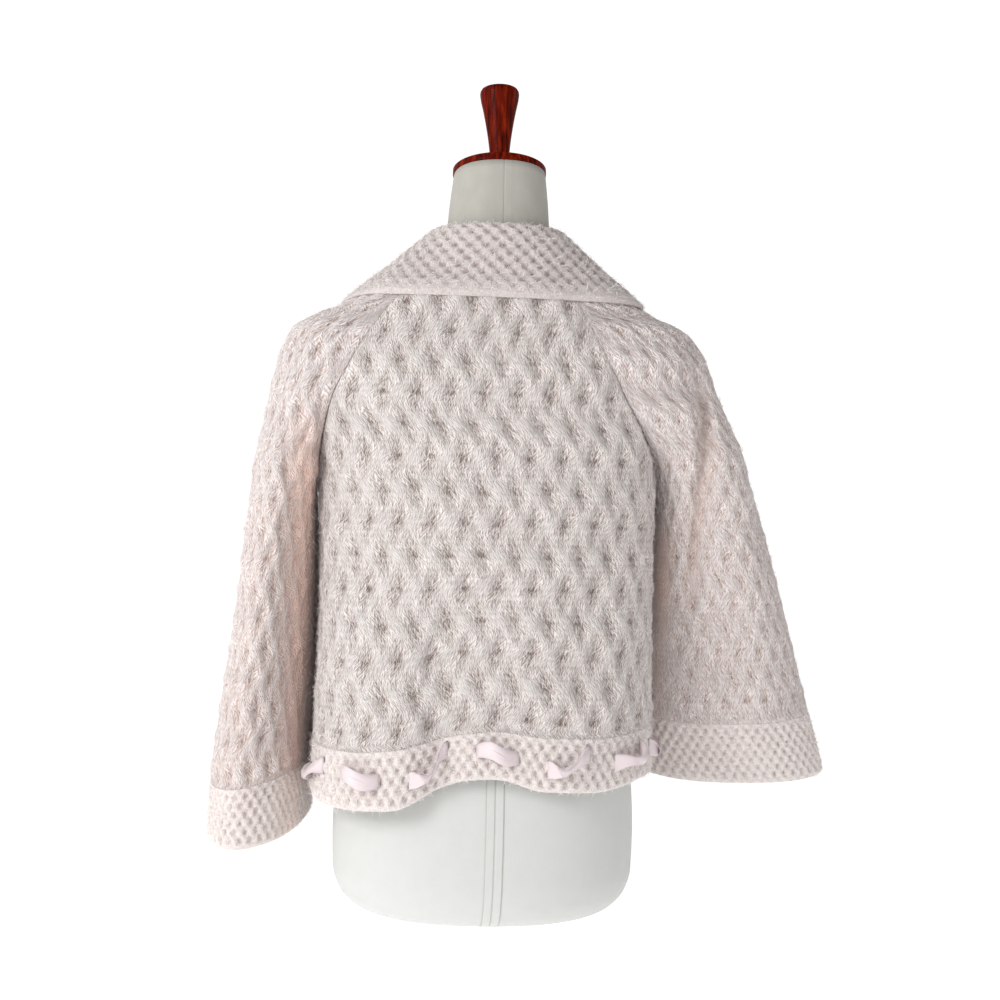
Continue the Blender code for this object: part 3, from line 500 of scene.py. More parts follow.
def neck_edge(bearing):
    """Distance from the middle and height of the neck opening's edge at each bearing."""
    rows = [back_row(NECK_LEVEL)[0]]
    for side in SIDE_NAMES:
        rows.append(sleeve_row(side, NECK_LEVEL)[0])
        for level in np.linspace(NECK_LEVEL, FRONT_TOP, NECK_EDGE_STEPS):
            rows.append(front_row(side, level)[0][-1:])
    points, bearings = around(rows)
    radius = np.interp(bearing, bearings, np.hypot(points[:, 0], points[:, 1]))
    return radius, np.interp(bearing, bearings, points[:, 2])


print("shoulders are", round(float(yoke_radius(90, 0.630)), 3), "m from the middle")


# %% The collar's path from its root to its free edge
COLLAR = table(
    "bearing stand top_height edge_level",
    (0, 0.0565, 0.7095, 0.630),
    (50, 0.0580, 0.7095, 0.630),
    (90, 0.0590, 0.7085, 0.628),
    (110, 0.0610, 0.7065, 0.617),
    (127, 0.0600, 0.7020, 0.604),
    (142, 0.0720, 0.6830, 0.590),
    (160, 0.0910, 0.6560, 0.572),
)
COLLAR_WALL = 0.0052
COLLAR_END = 158
COLLAR_STEPS = 44
COLLAR_OFF = (0.0008, 0.0045)  # air between collar and yoke, at the back and in front
COLLAR_FRONT = (105, 20)  # degrees where the front begins, and over which the air grows
COLLAR_LIFT = 0.0035
COLLAR_FOLD = ((0.0, -0.0110), (0.0068, 0.0), (0.0130, -0.0045))  # out and up from its top
COLLAR_BELLY = -0.015  # how much it bows between fold and edge, as a share of that length
SLOPE_STEP = 0.004


def collar_stations(bearings):
    """Points of the collar's path, as distance from the middle and height, at bearings."""
    size = np.abs(bearings)
    edge_level = read(COLLAR, "edge_level", size)
    radius, slope = [], []
    for bearing, level in zip(bearings, edge_level):
        here, above, lower = [yoke_radius(bearing, level + d) for d in (0, SLOPE_STEP, -SLOPE_STEP)]
        radius.append(here)
        slope.append((above - lower) / (2 * SLOPE_STEP))
    front = ease((size - COLLAR_FRONT[0]) / COLLAR_FRONT[1])
    off = COLLAR_OFF[0] + (COLLAR_OFF[1] - COLLAR_OFF[0]) * front
    off = (COLLAR_WALL + off) / np.hypot(1, slope)
    edge = np.stack([radius + off, edge_level - off * np.array(slope)], axis=1)
    neck_radius, neck_height = neck_edge(bearings)
    root = np.stack([neck_radius - COLLAR_WALL, neck_height + COLLAR_LIFT], axis=1)
    top = np.stack([read(COLLAR, "stand", size), read(COLLAR, "top_height", size)], axis=1)
    fold = [top + place for place in COLLAR_FOLD]
    belly = (fold[-1] + edge) / 2 + COLLAR_BELLY * (edge - fold[-1])[:, ::-1] * (-1, 1)
    return np.stack([root, *fold, belly, edge])


COLLAR_BEARINGS = np.linspace(-COLLAR_END, COLLAR_END, COLLAR_STEPS + 1)
COLLAR_STATIONS = collar_stations(COLLAR_BEARINGS)
print("the collar's path has", len(COLLAR_STATIONS), "points at each bearing")


# %% Rows of the collar
COLLAR_PLACES = (0.0, 0.016, 0.030, 0.039, 0.085, 0.130)  # how far down each of them lies


def collar_row(down):
    """A row of the collar round the neck, and where its middle lies."""
    at = np.clip(down, COLLAR_PLACES[0], COLLAR_PLACES[-1])
    n = min(int(np.searchsorted(COLLAR_PLACES, at, side="right")) - 1, len(COLLAR_PLACES) - 2)
    part = (at - COLLAR_PLACES[n]) / (COLLAR_PLACES[n + 1] - COLLAR_PLACES[n])
    spot = COLLAR_STATIONS[n] * (1 - part) + COLLAR_STATIONS[n + 1] * part
    angle = np.radians(COLLAR_BEARINGS)
    row = np.stack([spot[:, 0] * np.sin(angle), spot[:, 0] * np.cos(angle), spot[:, 1]], axis=1)
    return row, lengths(row)[-1] / 2


print("collar is", COLLAR_PLACES[-1], "m wide")

# %% [markdown]
# From rows to a surface
#
# A grid of points is the simplest mesh for cloth: quads that run along the knitting, and two
# distances (across and down) at every point, in which the stitch pattern can be written. The
# grid could be displaced by a modifier with a texture. Moving the points here keeps the
# pattern on the knitter's own grid, and leaves nothing for a viewer to work out.


# %% A grid over a piece, and its normals
SEAM_TOUCH = 0.00003  # every edge stops this far from its seam
ARMPIT_TRIM = 0.0002  # and this much further at the armpit, where the seams meet
ARMPIT_REACH = 0.070


def ends(row, along):
    """Where a row begins and ends: just inside its edges, a little more near the armpit."""
    far = [math.hypot(point[1], point[2] - ARMPIT_LEVEL) for point in (row[0], row[-1])]
    trim = [SEAM_TOUCH + ARMPIT_TRIM * math.exp(-(part / ARMPIT_REACH) ** 2) for part in far]
    return along[0] + trim[0], along[-1] - trim[1]


class Grid:
    """A piece's surface: points, distance across and down, and distances to its edges."""

    def __init__(self, row_at, downs, columns, turn):
        self.turn = turn
        self.total = downs[-1]
        share = np.linspace(0, 1, columns + 1)
        points, across, room = [], [], []
        for down in downs:
            row, middle = row_at(down)
            along = lengths(row) - middle
            first, last = ends(row, along)
            place = first + (last - first) * share
            points.append(walk(row, along, place))
            across.append(place)
            room.append(np.stack([place - first, last - place]))
        self.points = np.array(points)
        self.across = np.array(across)
        self.down = np.repeat(downs[:, None], columns + 1, axis=1)
        self.room = np.array(room).transpose(1, 0, 2)
        # how dark each point is painted, 0 to 1: shade in the stitches' valleys and holes, and the seams
        self.valley = np.zeros(self.across.shape)
        self.blush = np.zeros(self.across.shape)
        self.lining = self.points

    def normals(self):
        """Unit normals, outward, from the neighbours of each point."""
        ahead = np.gradient(self.points, axis=1)
        downward = np.gradient(self.points, axis=0)
        normal = self.turn * np.cross(ahead, -downward)
        return normal / np.maximum(np.linalg.norm(normal, axis=2, keepdims=True), 1e-12)

    def push(self, height):
        """Moves the surface out by a height at each point."""
        self.points = self.points + self.normals() * height[..., None]

    def line(self, thickness):
        """Sets the plain inner side, before any stitches are raised."""
        self.lining = self.points - self.normals() * thickness


print("an edge stops", SEAM_TOUCH * 1000, "mm inside its seam")

# %% [markdown]
# The woven cable
#
# In a woven cable, ropes of stitches cross to the right in one row and to the left in the
# next. Where they cross, the knitting stands up; between the crossings a small dark eye goes
# down. The ropes could be modelled one by one, but they would never lie as close as knitting
# does. One formula gives the relief: a product of two cosines for the crossings, and a second
# one at double width for the ropes that run from crossing to crossing.


# %% The relief of the woven cable
CABLE_HEIGHT = 0.032
CABLE_RISE = 0.0032
CABLE_LEAN = math.pi / 6  # the ropes wind aside by up to a twelfth of a repeat
BODY_CABLE = (CABLE_WIDTH, CABLE_HEIGHT, CABLE_RISE)
SLEEVE_CABLE = {1: (0.0225, 0.031, 0.0031), -1: (0.0215, 0.0250, 0.0020)}
CROSSING_RISE = 0.85  # shares of the cable's rise
RIDGE_RISE = 0.42
EYE_DEPTH = 0.75
SLOPE_SHADE = 0.23  # painted shade, from 0 on a light ridge to 1 in a dark valley
CROSSING_SHADE = 0.22
RIDGE_SHADE = 0.10
EYE_SHADE = 0.46
ROPE_LEAN = 0.90  # how steeply the stitches follow the ropes
ROPE_FAN = 0.35  # how much more they do where ropes cross


def cable(across, along, width, height, rise):
    """Height of the woven cable, and the shade painted on each point (0 to 1), dark in valleys."""
    row = math.pi * along / height
    column = 2 * math.pi * across / width + CABLE_LEAN * np.sin(row)
    crossing = np.cos(column) * np.cos(row)
    ridges = -np.cos(2 * column) * np.sin(row) ** 2
    eye = ((1 - crossing) / 2) ** 7 * np.cos(row) ** 30  # high powers keep it small and round
    relief = rise * (CROSSING_RISE * crossing + RIDGE_RISE * ridges - EYE_DEPTH * eye)
    shade = CROSSING_SHADE * crossing + RIDGE_SHADE * ridges - EYE_SHADE * eye
    return relief, np.clip(SLOPE_SHADE - rise / CABLE_RISE * shade, 0, 1)


def rope_shift(across, along, width, height):
    """How far the ropes lean aside, most where they cross, so that strands fan at the eyes."""
    row = math.pi * along / height
    column = 2 * math.pi * across / width
    near = 1 - ROPE_FAN + ROPE_FAN * np.cos(column) * np.cos(row)
    return ROPE_LEAN * height / math.pi * np.sin(row) * near


print("one repeat of the cable is", CABLE_WIDTH * 1000, "by", 2 * CABLE_HEIGHT * 1000, "mm")


# %% Where the cable is left out
ARMPIT_SIDE = 0.178  # how far the armpit is from the middle
CALM = (0.008, 0.024)  # plain to the first distance, and full relief this much further
CALM_SQUASH = 0.8
COLLAR_COVERS = 0.646  # the collar lies on everything above
COLLAR_FADE = 0.010


def calm_places(place):
    """0 where the relief would touch the collar or the other side of the armpit, else 1."""
    above = np.maximum(place[..., 2] - ARMPIT_LEVEL, 0)
    aside = np.abs(place[..., 0]) - ARMPIT_SIDE
    far = np.stack([aside, place[..., 1] * CALM_SQUASH, above], axis=-1)
    far = np.linalg.norm(far, axis=-1)
    under_collar = ease((COLLAR_COVERS - place[..., 2]) / COLLAR_FADE)
    return ease((far - CALM[0]) / CALM[1]) * under_collar


print("the relief fades under the collar, above", COLLAR_COVERS, "m")

# %% [markdown]
# Closing the wall
#
# Cloth has two sides. A solidify modifier could give it the second one, but it would copy
# every stitch to the inside. The outer grid carries the stitches. The inner side is hardly
# seen, so it takes every fourth point, set back by the cloth's thickness, and a rim joins
# the two.


# %% Build a closed wall from a grid
INNER_EVERY = 4


def every(count):
    """Point numbers of the coarse inner side: every fourth one, and the last."""
    return np.unique(np.append(np.arange(0, count, INNER_EVERY), count - 1))


def quads(numbers, flip):
    """Quads between the point numbers of a grid."""
    corners = [numbers[:-1, :-1], numbers[1:, :-1], numbers[1:, 1:], numbers[:-1, 1:]]
    face = np.stack(corners[::-1] if flip else corners, axis=-1)
    return face.reshape(-1, 4).tolist()


def rim(outer, inner, flip):
    """Faces from a fine edge to a coarse one: one face for each step of the coarse edge."""
    at = every(len(outer))
    faces = []
    for n in range(len(inner) - 1):
        face = list(outer[at[n]:at[n + 1] + 1]) + [inner[n + 1], inner[n]]
        faces.append([int(number) for number in (face[::-1] if flip else face)])
    return faces


print("the inner side takes every point of", INNER_EVERY)


# %% Join both sides to one piece
def wall(name, grid, knit):
    """A closed piece of cloth from a grid; knit is its stitch map, two distances."""
    chosen = np.ix_(every(grid.across.shape[0]), every(grid.across.shape[1]))
    back = grid.lining[chosen]
    count = grid.across.size
    outside = np.arange(count).reshape(grid.across.shape)
    inside = count + np.arange(back.shape[0] * back.shape[1]).reshape(back.shape[:2])
    flip = grid.turn < 0
    faces = quads(outside, flip) + quads(inside, not flip)
    faces += rim(outside[0], inside[0], flip)
    faces += rim(outside[-1], inside[-1], not flip)
    faces += rim(outside[:, 0], inside[:, 0], not flip)
    faces += rim(outside[:, -1], inside[:, -1], flip)
    points = np.concatenate([grid.points.reshape(-1, 3), back.reshape(-1, 3)])
    both = [np.append(part.ravel(), part[chosen].ravel()) for part in (*knit, grid.valley, grid.blush)]
    return add_cloth(name, points, faces, np.stack(both[:2], axis=1), valley=both[2], blush=both[3])


def add_cloth(name, points, faces, maps, **shades):
    """One named object with a UV map in metres and named values at its points."""
    mesh = bpy.data.meshes.new(name)
    mesh.from_pydata(points.tolist(), [], faces)
    mesh.shade_smooth()
    corner = np.empty(len(mesh.loops), dtype=np.int32)
    mesh.loops.foreach_get("vertex_index", corner)
    layer = mesh.uv_layers.new(name="knit")
    layer.uv.foreach_set("vector", maps[corner].astype(np.float32).ravel())
    for label, values in shades.items():
        shade = mesh.attributes.new(label, "FLOAT", "POINT")
        shade.data.foreach_set("value", values.astype(np.float32))
    piece = bpy.data.objects.new(name, mesh)
    PIECES.objects.link(piece)
    triangles = sum(len(face.vertices) - 2 for face in mesh.polygons)
    print(name, triangles, "triangles")
    return piece


# %% [markdown]
# Soft creases
#
# Thick knitting doesn't fold sharply. Where the garment sags it makes shallow troughs and
# ridges, each of its own length, width and depth. A sculptor would press them in with a
# brush; numbers can be read and changed later. Each line of a list names the two ends of one,
# as distances across and down on its panel, and a negative depth is a trough.


# %% Press creases into a grid
CREASE_BOW = 0.06  # how far a crease bows aside, as a share of its length
CREASE_ENDS = 0.35  # the share of its length over which each end runs out
CREASE_EDGE = 0.03  # creases run out over this distance from a seam
CREASE_HEM = 0.02


def crease(grid, lines):
    """Adds soft troughs and ridges: across, down, across, down, width and depth of each."""
    height = np.zeros(grid.across.shape)
    for across_a, down_a, across_b, down_b, width, depth in lines:
        line = np.array([across_b - across_a, down_b - down_a])
        size = float(np.hypot(*line))
        ahead = ((grid.across - across_a) * line[0] + (grid.down - down_a) * line[1]) / size
        aside = ((grid.across - across_a) * line[1] - (grid.down - down_a) * line[0]) / size
        bow = aside - CREASE_BOW * size * np.sin(math.pi * np.clip(ahead / size, 0, 1))
        runs_out = CREASE_ENDS * size
        fade = ease((ahead + width) / runs_out) * ease((size + width - ahead) / runs_out)
        height += depth * fade * np.exp(-(bow / width) ** 2)
    edge = ease(grid.room.min(axis=0) / CREASE_EDGE)
    end = ease(grid.down / CREASE_EDGE) * ease((grid.total - grid.down) / CREASE_HEM)
    grid.push(height * edge * end)


print("creases fade within", CREASE_EDGE * 1000, "mm of a seam")

# %% [markdown]
# The cable panels
#
# Back, fronts and sleeves are knitted flat in the same cable. One function makes all five, so
# that their stitches match: lay the grid, press its creases, set the plain inner side, raise
# the cables, and dip the edges into the seams. Beside a raglan seam the knitter leaves the
# cables out for a finger's width and knits plain stockinette, so the relief fades there.


# %% Make one cable panel
ROW_STEP = 0.0018
PANEL_WALL = 0.0046
RAGLAN_BAND = 0.016  # plain knitting beside a raglan or side seam
SIDE_FADE = 0.020  # and beside a front's edge
NECK_FADE = 0.012  # the cables also fade over these heights, at the neck and at the hem band
HEM_FADE = 0.006
PLAIN_VALLEY = 0.20  # the painted shade of plain knitting
SEAM_DIP = 0.0003
SEAM_DIP_WIDTH = 0.0024
SEAM_SHADE = 0.06
CLOTHS = {}


def cable_panel(name, row_of, line, turn, columns, pattern, creases, fades, blush=None):
    """A panel of woven cable; row_of gives its row at a level, fades its plain edges."""
    level, along, total = line
    downs = np.linspace(0, total, round(total / ROW_STEP) + 1)
    grid = Grid(lambda down: row_of(float(np.interp(down, along, level))), downs, columns, turn)
    if blush:
        grid.blush = blush(grid.points)
    crease(grid, creases)
    grid.line(PANEL_WALL)
    width, height, rise = pattern
    knit_down = grid.down * round(2 * total / height) * height / 2 / total
    relief, valley = cable(grid.across, knit_down, width, height, rise)
    room = np.minimum(ease(grid.room[0] / fades[0]), ease(grid.room[1] / fades[1]))
    room = room * ease(grid.down / NECK_FADE) * ease((total - grid.down) / HEM_FADE)
    room = room * calm_places(grid.points)
    seam = np.exp(-(grid.room.min(axis=0) / SEAM_DIP_WIDTH) ** 2)
    grid.push(relief * room - SEAM_DIP * seam)
    # painted shade: the cable's, faded to plain knitting, and a little more at the seams
    grid.valley = PLAIN_VALLEY + (valley - PLAIN_VALLEY) * room + SEAM_SHADE * seam
    CLOTHS[name] = grid
    shift = rope_shift(grid.across, knit_down, width, height)
    return wall(name, grid, (grid.across + shift * room, knit_down))


print("rows of points are", ROW_STEP * 1000, "mm apart")

# %% [markdown]
# The back
#
# The back is one panel from the neck to the hem band. It hangs almost straight, with soft
# slanting creases under the arms and across the small of the back, where it is too wide for
# the form. A simulation would find creases too, but not the ones in the photograph.

# %% The back panel
BACK_CREASES = [
    (0.150, 0.150, 0.060, 0.240, 0.018, -0.0030),
    (-0.150, 0.160, -0.070, 0.250, 0.020, -0.0030),
    (0.160, 0.260, 0.090, 0.400, 0.022, -0.0035),
    (-0.120, 0.280, -0.085, 0.460, 0.020, -0.0040),
    (0.020, 0.330, 0.045, 0.480, 0.024, -0.0030),
    (-0.030, 0.300, -0.040, 0.470, 0.016, 0.0020),
    (0.072, 0.440, 0.067, 0.480, 0.005, -0.0040),
]
back = cable_panel(
    "knit_back",
    back_row,
    BODY_LINES["back"],
    turn=-1,
    columns=240,
    pattern=BODY_CABLE,
    creases=BACK_CREASES,
    fades=(RAGLAN_BAND, RAGLAN_BAND),
)

# %% [markdown]
# The fronts
#
# The photograph doesn't show the fronts, so they are finished as plainly as the back is
# knitted. They are one function with a side: 1 is the wearer's left and -1 the right, and
# only the sign of x changes.

# %% The two front panels
FRONT_CREASES = [
    (-0.10, 0.20, -0.03, 0.33, 0.020, -0.0030),
    (-0.06, 0.35, -0.05, 0.47, 0.020, -0.0035),
]
fronts = {}
for side, side_name in SIDE_NAMES.items():
    fronts[side] = cable_panel(
        "knit_front_" + side_name,
        partial(front_row, side),
        BODY_LINES["front"],
        turn=-side,
        columns=84,
        pattern=BODY_CABLE,
        creases=FRONT_CREASES,
        fades=(RAGLAN_BAND, SIDE_FADE),
    )

# %% [markdown]
# The blush of the sleeves
#
# Where two layers of pale wool hang close, light is passed to and fro between them and comes
# out warm. Real light could do this through the cloth, but that takes long and many viewers
# can't show it. So each point of a sleeve carries a number, its blush, and the material is
# tinted by it: beside the body, in the long folds, and a little on the lower sleeve.


# %% How warm each point of a sleeve looks
BESIDE_BODY = {1: (0.188, 0.040, 0.54), -1: (0.178, 0.016, 0.44)}  # edge, fade and top level
LOWER_SLEEVE = {1: 0.12, -1: 0.02}
FOLD_BLUSH = 0.3
FRONT_BLUSH = 0.4  # the front half blushes less
CUFF_BLUSH = 0.4
TOP_BLUSH_FADE = 0.10
LOWER_FROM = 0.50  # the lower sleeve blushes from this height down
LOWER_EDGE = 0.215  # inside this distance from the middle
LOWER_FLARE = 0.15  # which grows by this share of the drop
SOFT = 0.03
BACK_FROM = -0.01  # the back half starts just in front of the middle


def sleeve_blush(side, share, points):
    """How warm points look, from 0 to 1, times a share."""
    x, height = side * points[..., 0], points[..., 2]
    edge, width, top = BESIDE_BODY[side]
    warm = ease((edge + width - x) / width) * ease((top - height) / TOP_BLUSH_FADE)
    for face, high, low, x_top, x_bottom, wide, deep in zip(*SLEEVE_FOLDS[side].values()):
        part = (high - height) / (high - low)
        near = np.exp(-((x - x_top - (x_bottom - x_top) * part) / wide) ** 2)
        inside = fold_strength(part) * (face * points[..., 1] > 0)
        warm = np.maximum(warm, FOLD_BLUSH * near * inside * (deep > 0))
    warm = warm * (FRONT_BLUSH + (1 - FRONT_BLUSH) * ease((points[..., 1] - BACK_FROM) / SOFT))
    drop = LOWER_FROM - height
    shaded = 1 - ease((x - LOWER_EDGE - LOWER_FLARE * drop) / SOFT)
    lower = LOWER_SLEEVE[side] * shaded * ease(drop / TOP_BLUSH_FADE)
    return share * np.maximum(warm, lower)


print("folds blush at", FOLD_BLUSH, "of the full tint")

# %% [markdown]
# The sleeves
#
# The sleeves carry the same cable, a little closer, because the cloth hangs free and the
# stitches draw together. A tube could be made first and shaped after that, but a knitter's
# sleeve is one panel, wrapped round until its edges meet, and so is this one.

# %% The two sleeves
SLEEVE_CREASES = {
    1: [
        (-0.060, 0.150, -0.100, 0.300, 0.016, -0.0030),
        (-0.020, 0.260, -0.050, 0.430, 0.018, 0.0025),
        (0.060, 0.180, 0.090, 0.330, 0.018, -0.0030),
    ],
    -1: [
        (-0.050, 0.140, -0.110, 0.220, 0.016, -0.0035),
        (-0.030, 0.230, -0.080, 0.400, 0.020, -0.0030),
        (0.050, 0.170, 0.080, 0.330, 0.018, -0.0030),
    ],
}
sleeves = {}
for side, side_name in SIDE_NAMES.items():
    sleeves[side] = cable_panel(
        "knit_sleeve_" + side_name,
        partial(sleeve_row, side),
        SLEEVE_LINES[side],
        turn=-side,
        columns=200,
        pattern=SLEEVE_CABLE[side],
        creases=SLEEVE_CREASES[side],
        fades=(RAGLAN_BAND, RAGLAN_BAND),
        blush=partial(sleeve_blush, side, 1.0),
    )

# %% [markdown]
# Bands in seed stitch
#
# Collar, cuffs, hem and front edges are knitted in seed stitch: plain and purl stitches
# change places in every row, which leaves a grid of small holes. The holes could be a bump in
# the material, but at this size they show against the light, so they are part of the mesh.
# The free edges are rounded, because a knitted edge curls a little and its yarn is brushed.


# %% The relief of seed stitch and of a rounded edge
BUMP_FOOT = (-0.85, 1.5)  # where the wave starts to rise into a bump, and how broad its side is
BAND_SHADES = (0.22, 0.16, 0.42)  # painted shade: a slope's, how much lighter bumps are, and how much darker holes
EDGE_REACH = 0.6  # a free edge rounds over in this share of the cloth's thickness
EDGE_LAST = 0.985  # it stops just before the two sides meet
EDGE_TURN = (25, 45, 62, 76, 86)  # degrees of the closer rows on the rounded edge


def seed(across, down, pitch, row_height, rise):
    """Height of seed stitch, broad bumps and small holes that change places in every row, and its painted
    shade.
    """
    wave = np.cos(2 * math.pi * across / pitch) * np.cos(math.pi * down / row_height)
    hole = ((1 - wave) / 2) ** 6  # a high power keeps the holes small
    relief = rise * (ease((wave - BUMP_FOOT[0]) / BUMP_FOOT[1]) - (1 + hole) / 2)
    slope, lighter, darker = BAND_SHADES
    return relief, np.clip(slope - lighter * wave + darker * hole, 0, 1)


def rounded_downs(total, step, thickness):
    """Even rows, and closer ones where the free edge rounds over at the end."""
    reach = EDGE_REACH * thickness
    rows = np.linspace(0, total - reach, round((total - reach) / step) + 1)
    return np.append(rows, total - reach + reach * np.sin(np.radians(EDGE_TURN)))


def round_edge(grid, room, thickness):
    """Rounds a free edge: both sides curl to the middle of the cloth's thickness."""
    inside = np.clip(1 - room / (EDGE_REACH * thickness), 0, EDGE_LAST)
    curl = thickness / 2 * (1 - np.sqrt(1 - inside ** 2))
    normal = grid.normals()
    grid.points = grid.points - normal * curl[..., None]
    grid.lining = grid.lining + normal * curl[..., None]


print("a free edge is rounded by", len(EDGE_TURN), "closer rows")


# %% Make one seed-stitch band
BAND_WALL = 0.0060
BAND_GAP = 0.0001
BAND_SHADE = 0.10
TOP_FADE = 0.003  # the stitches fade in over this distance at the top
SIDE_STITCH = 0.004  # and over this one at the sides
FOOT_FADE = 0.007  # and over this one at the free edge, or more where it is rolled
ROLL_FADE = 9  # times as far as the roll is thick
ROLL_PLACE = (0.004, 0.025, 0.010)  # above the edge: where it is full, gone, and how it fades
ROLL_SIDE = (0.150, 0.050)  # and to each side: where it is gone, and how it fades


def below(row_of, top):
    """A function that gives a row by its distance below a level."""
    return lambda down: row_of(top - down)


def seed_band(name, row_at, total, turn, columns, pattern, thickness=BAND_WALL, **edges):
    """A band in seed stitch; pattern is its stitch's pitch, row height and rise."""
    grid = Grid(row_at, rounded_downs(total, ROW_STEP, thickness), columns, turn)
    return finish_band(name, grid, pattern, thickness, **edges)


def finish_band(name, grid, pattern, thickness, free=(False, False), roll=0.0, blush=None):
    """Stitches and edges of a band; free says which sides are, roll thickens the free edge."""
    grid.line(thickness)
    relief, valley = seed(grid.across, grid.down, *pattern)
    to_edge = grid.total - grid.down
    room = ease(grid.down / TOP_FADE) * ease(to_edge / (FOOT_FADE + ROLL_FADE * roll))
    for to_side in grid.room:
        room = room * ease(to_side / SIDE_STITCH)
    full, gone, fade = ROLL_PLACE
    thick = roll * ease(to_edge / full) * ease((gone - to_edge) / fade)
    thick = thick * ease((ROLL_SIDE[0] - np.abs(grid.points[..., 0])) / ROLL_SIDE[1])
    grid.push(relief * room + thick)
    # painted shade: darker in the holes, lighter on the bumps
    grid.valley = BAND_SHADE + (valley - BAND_SHADE) * room
    if blush:
        grid.blush = blush(grid.points)
    round_edge(grid, to_edge, thickness)
    for to_side, is_free in zip(grid.room, free):
        if is_free:
            round_edge(grid, to_side, thickness)
    CLOTHS[name] = grid
    return wall(name, grid, (grid.across, grid.down))


print("bands are", BAND_WALL * 1000, "mm thick")

# %% [markdown]
# The cuffs
#
# The wide cuffs are picked up at the sleeve's end and knitted downwards. A ring could be bent
# to the sleeve's end, but the sleeve tables already go on below it, so a cuff simply takes
# its rows from there and meets the sleeve all round.

# %% The two cuffs
CUFF_BOTTOM = {1: 0.079, -1: 0.146}
CUFF_SEED = (0.0111, 0.0080, 0.0026)  # pitch, row height and rise of its stitches
cuffs = {}
for side, side_name in SIDE_NAMES.items():
    top = CUFF_TOP[side] - BAND_GAP
    cuffs[side] = seed_band(
        "knit_cuff_" + side_name,
        below(partial(sleeve_row, side), top),
        top - CUFF_BOTTOM[side],
        turn=-side,
        columns=260,
        pattern=CUFF_SEED,
        blush=partial(sleeve_blush, side, CUFF_BLUSH),
    )

# %% [markdown]
# The hem band and the front edges
#
# The hem band is in three pieces, like the body above it, and its rows swing in the same
# waves. One long band would do, but three take their rows from the panels above them, so
# they meet those all along. The two narrow bands down the front are knitted on last, beside
# the fronts' edges. They hang open, two centimetres apart, and only their edges towards the
# middle are free.

# %% The hem band, in three pieces like the body
HEM_SEED = (0.0118, 0.0085, 0.0028)
HEM_TOP = HEM_LEVEL - BAND_GAP
hem_back = seed_band(
    "knit_hem_back",
    below(back_row, HEM_TOP),
    HEM_TOP - HEM_END,
    turn=-1,
    columns=250,
    pattern=HEM_SEED,
)
hem_fronts = {}
for side, side_name in SIDE_NAMES.items():
    hem_fronts[side] = seed_band(
        "knit_hem_front_" + side_name,
        below(partial(front_row, side), HEM_TOP),
        HEM_TOP - HEM_END,
        turn=-side,
        columns=84,
        pattern=HEM_SEED,
    )

# %% The narrow bands down the front edges
front_bands = {}
for side, side_name in SIDE_NAMES.items():
    front_bands[side] = seed_band(
        "knit_front_band_" + side_name,
        below(partial(front_band_row, side), FRONT_TOP),
        FRONT_TOP - HEM_END,
        turn=-side,
        columns=18,
        pattern=HEM_SEED,
        free=(False, True),
    )

# %% [markdown]
# The collar
#
# The collar's stitches are wider than the hem's, because they are stretched over its fold.
# Its free edge lies on the shoulders as a smooth, thick roll. A tube laid along the edge
# would do, but it would show a line where it meets the band. So the outer side is pushed out
# in a strip along the edge.

# %% The collar band
COLLAR_SEED = (0.0166, 0.0090, 0.0030)
COLLAR_ROLL = 0.0022
collar = seed_band(
    "knit_collar",
    collar_row,
    COLLAR_PLACES[-1],
    turn=-1,
    columns=330,
    pattern=COLLAR_SEED,
    thickness=COLLAR_WALL,
    free=(True, True),
    roll=COLLAR_ROLL,
)
print("cloth pieces:", len(CLOTHS))

# %% [markdown]
# The ribbon
#
# A satin ribbon runs through the hem band and shows in short stretches: it comes out between
# two stitches, most often turns over once, and goes back in. Three stretches stand out as
# loops that are gathered at their ends. The turn could be a simulation, but a path with a
# rotating width gives the same twist and never goes through the knitting.

# %% The line that the ribbon is threaded along
RIBBON_DOWN = 0.42  # the share of the band's height that lies above the ribbon


def hem_ring():
    """The line the ribbon is threaded along, with distances from the middle of the back."""
    level = HEM_LEVEL - (HEM_LEVEL - HEM_END) * RIBBON_DOWN
    points, middle = back_row(level)
    before, after = front_row(-1, level)[0][::-1], front_row(1, level)[0]
    ring = np.concatenate([before[:-1], points, after[1:]])
    return ring, lengths(ring) - (middle + lengths(before)[-1])


RING, RING_PLACES = hem_ring()
print("the ribbon's ring is", round(float(np.ptp(RING_PLACES)), 3), "m long")


# %% The path of one stretch
RIBBON_WIDTH = 0.017
RIBBON_THICKNESS = 0.0009
RIBBON_SPAN = 0.042  # from where it comes out to where it goes in
RIBBON_STEPS = 60
RIBBON_ARCH = 0.0020
RIBBON_BOW = 0.0026
RIBBON_CLEAR = 0.0001
RIBBON_LEAN = 0.005
RIBBON_PRESSED = 0.80  # the sleeves press the arch flat by this much at the sides
PRESSED_WITHIN = 0.060
REST_GAP = 0.0004
LOOK_AHEAD = 0.004
UP = np.array((0.0, 0.0, 1.0))


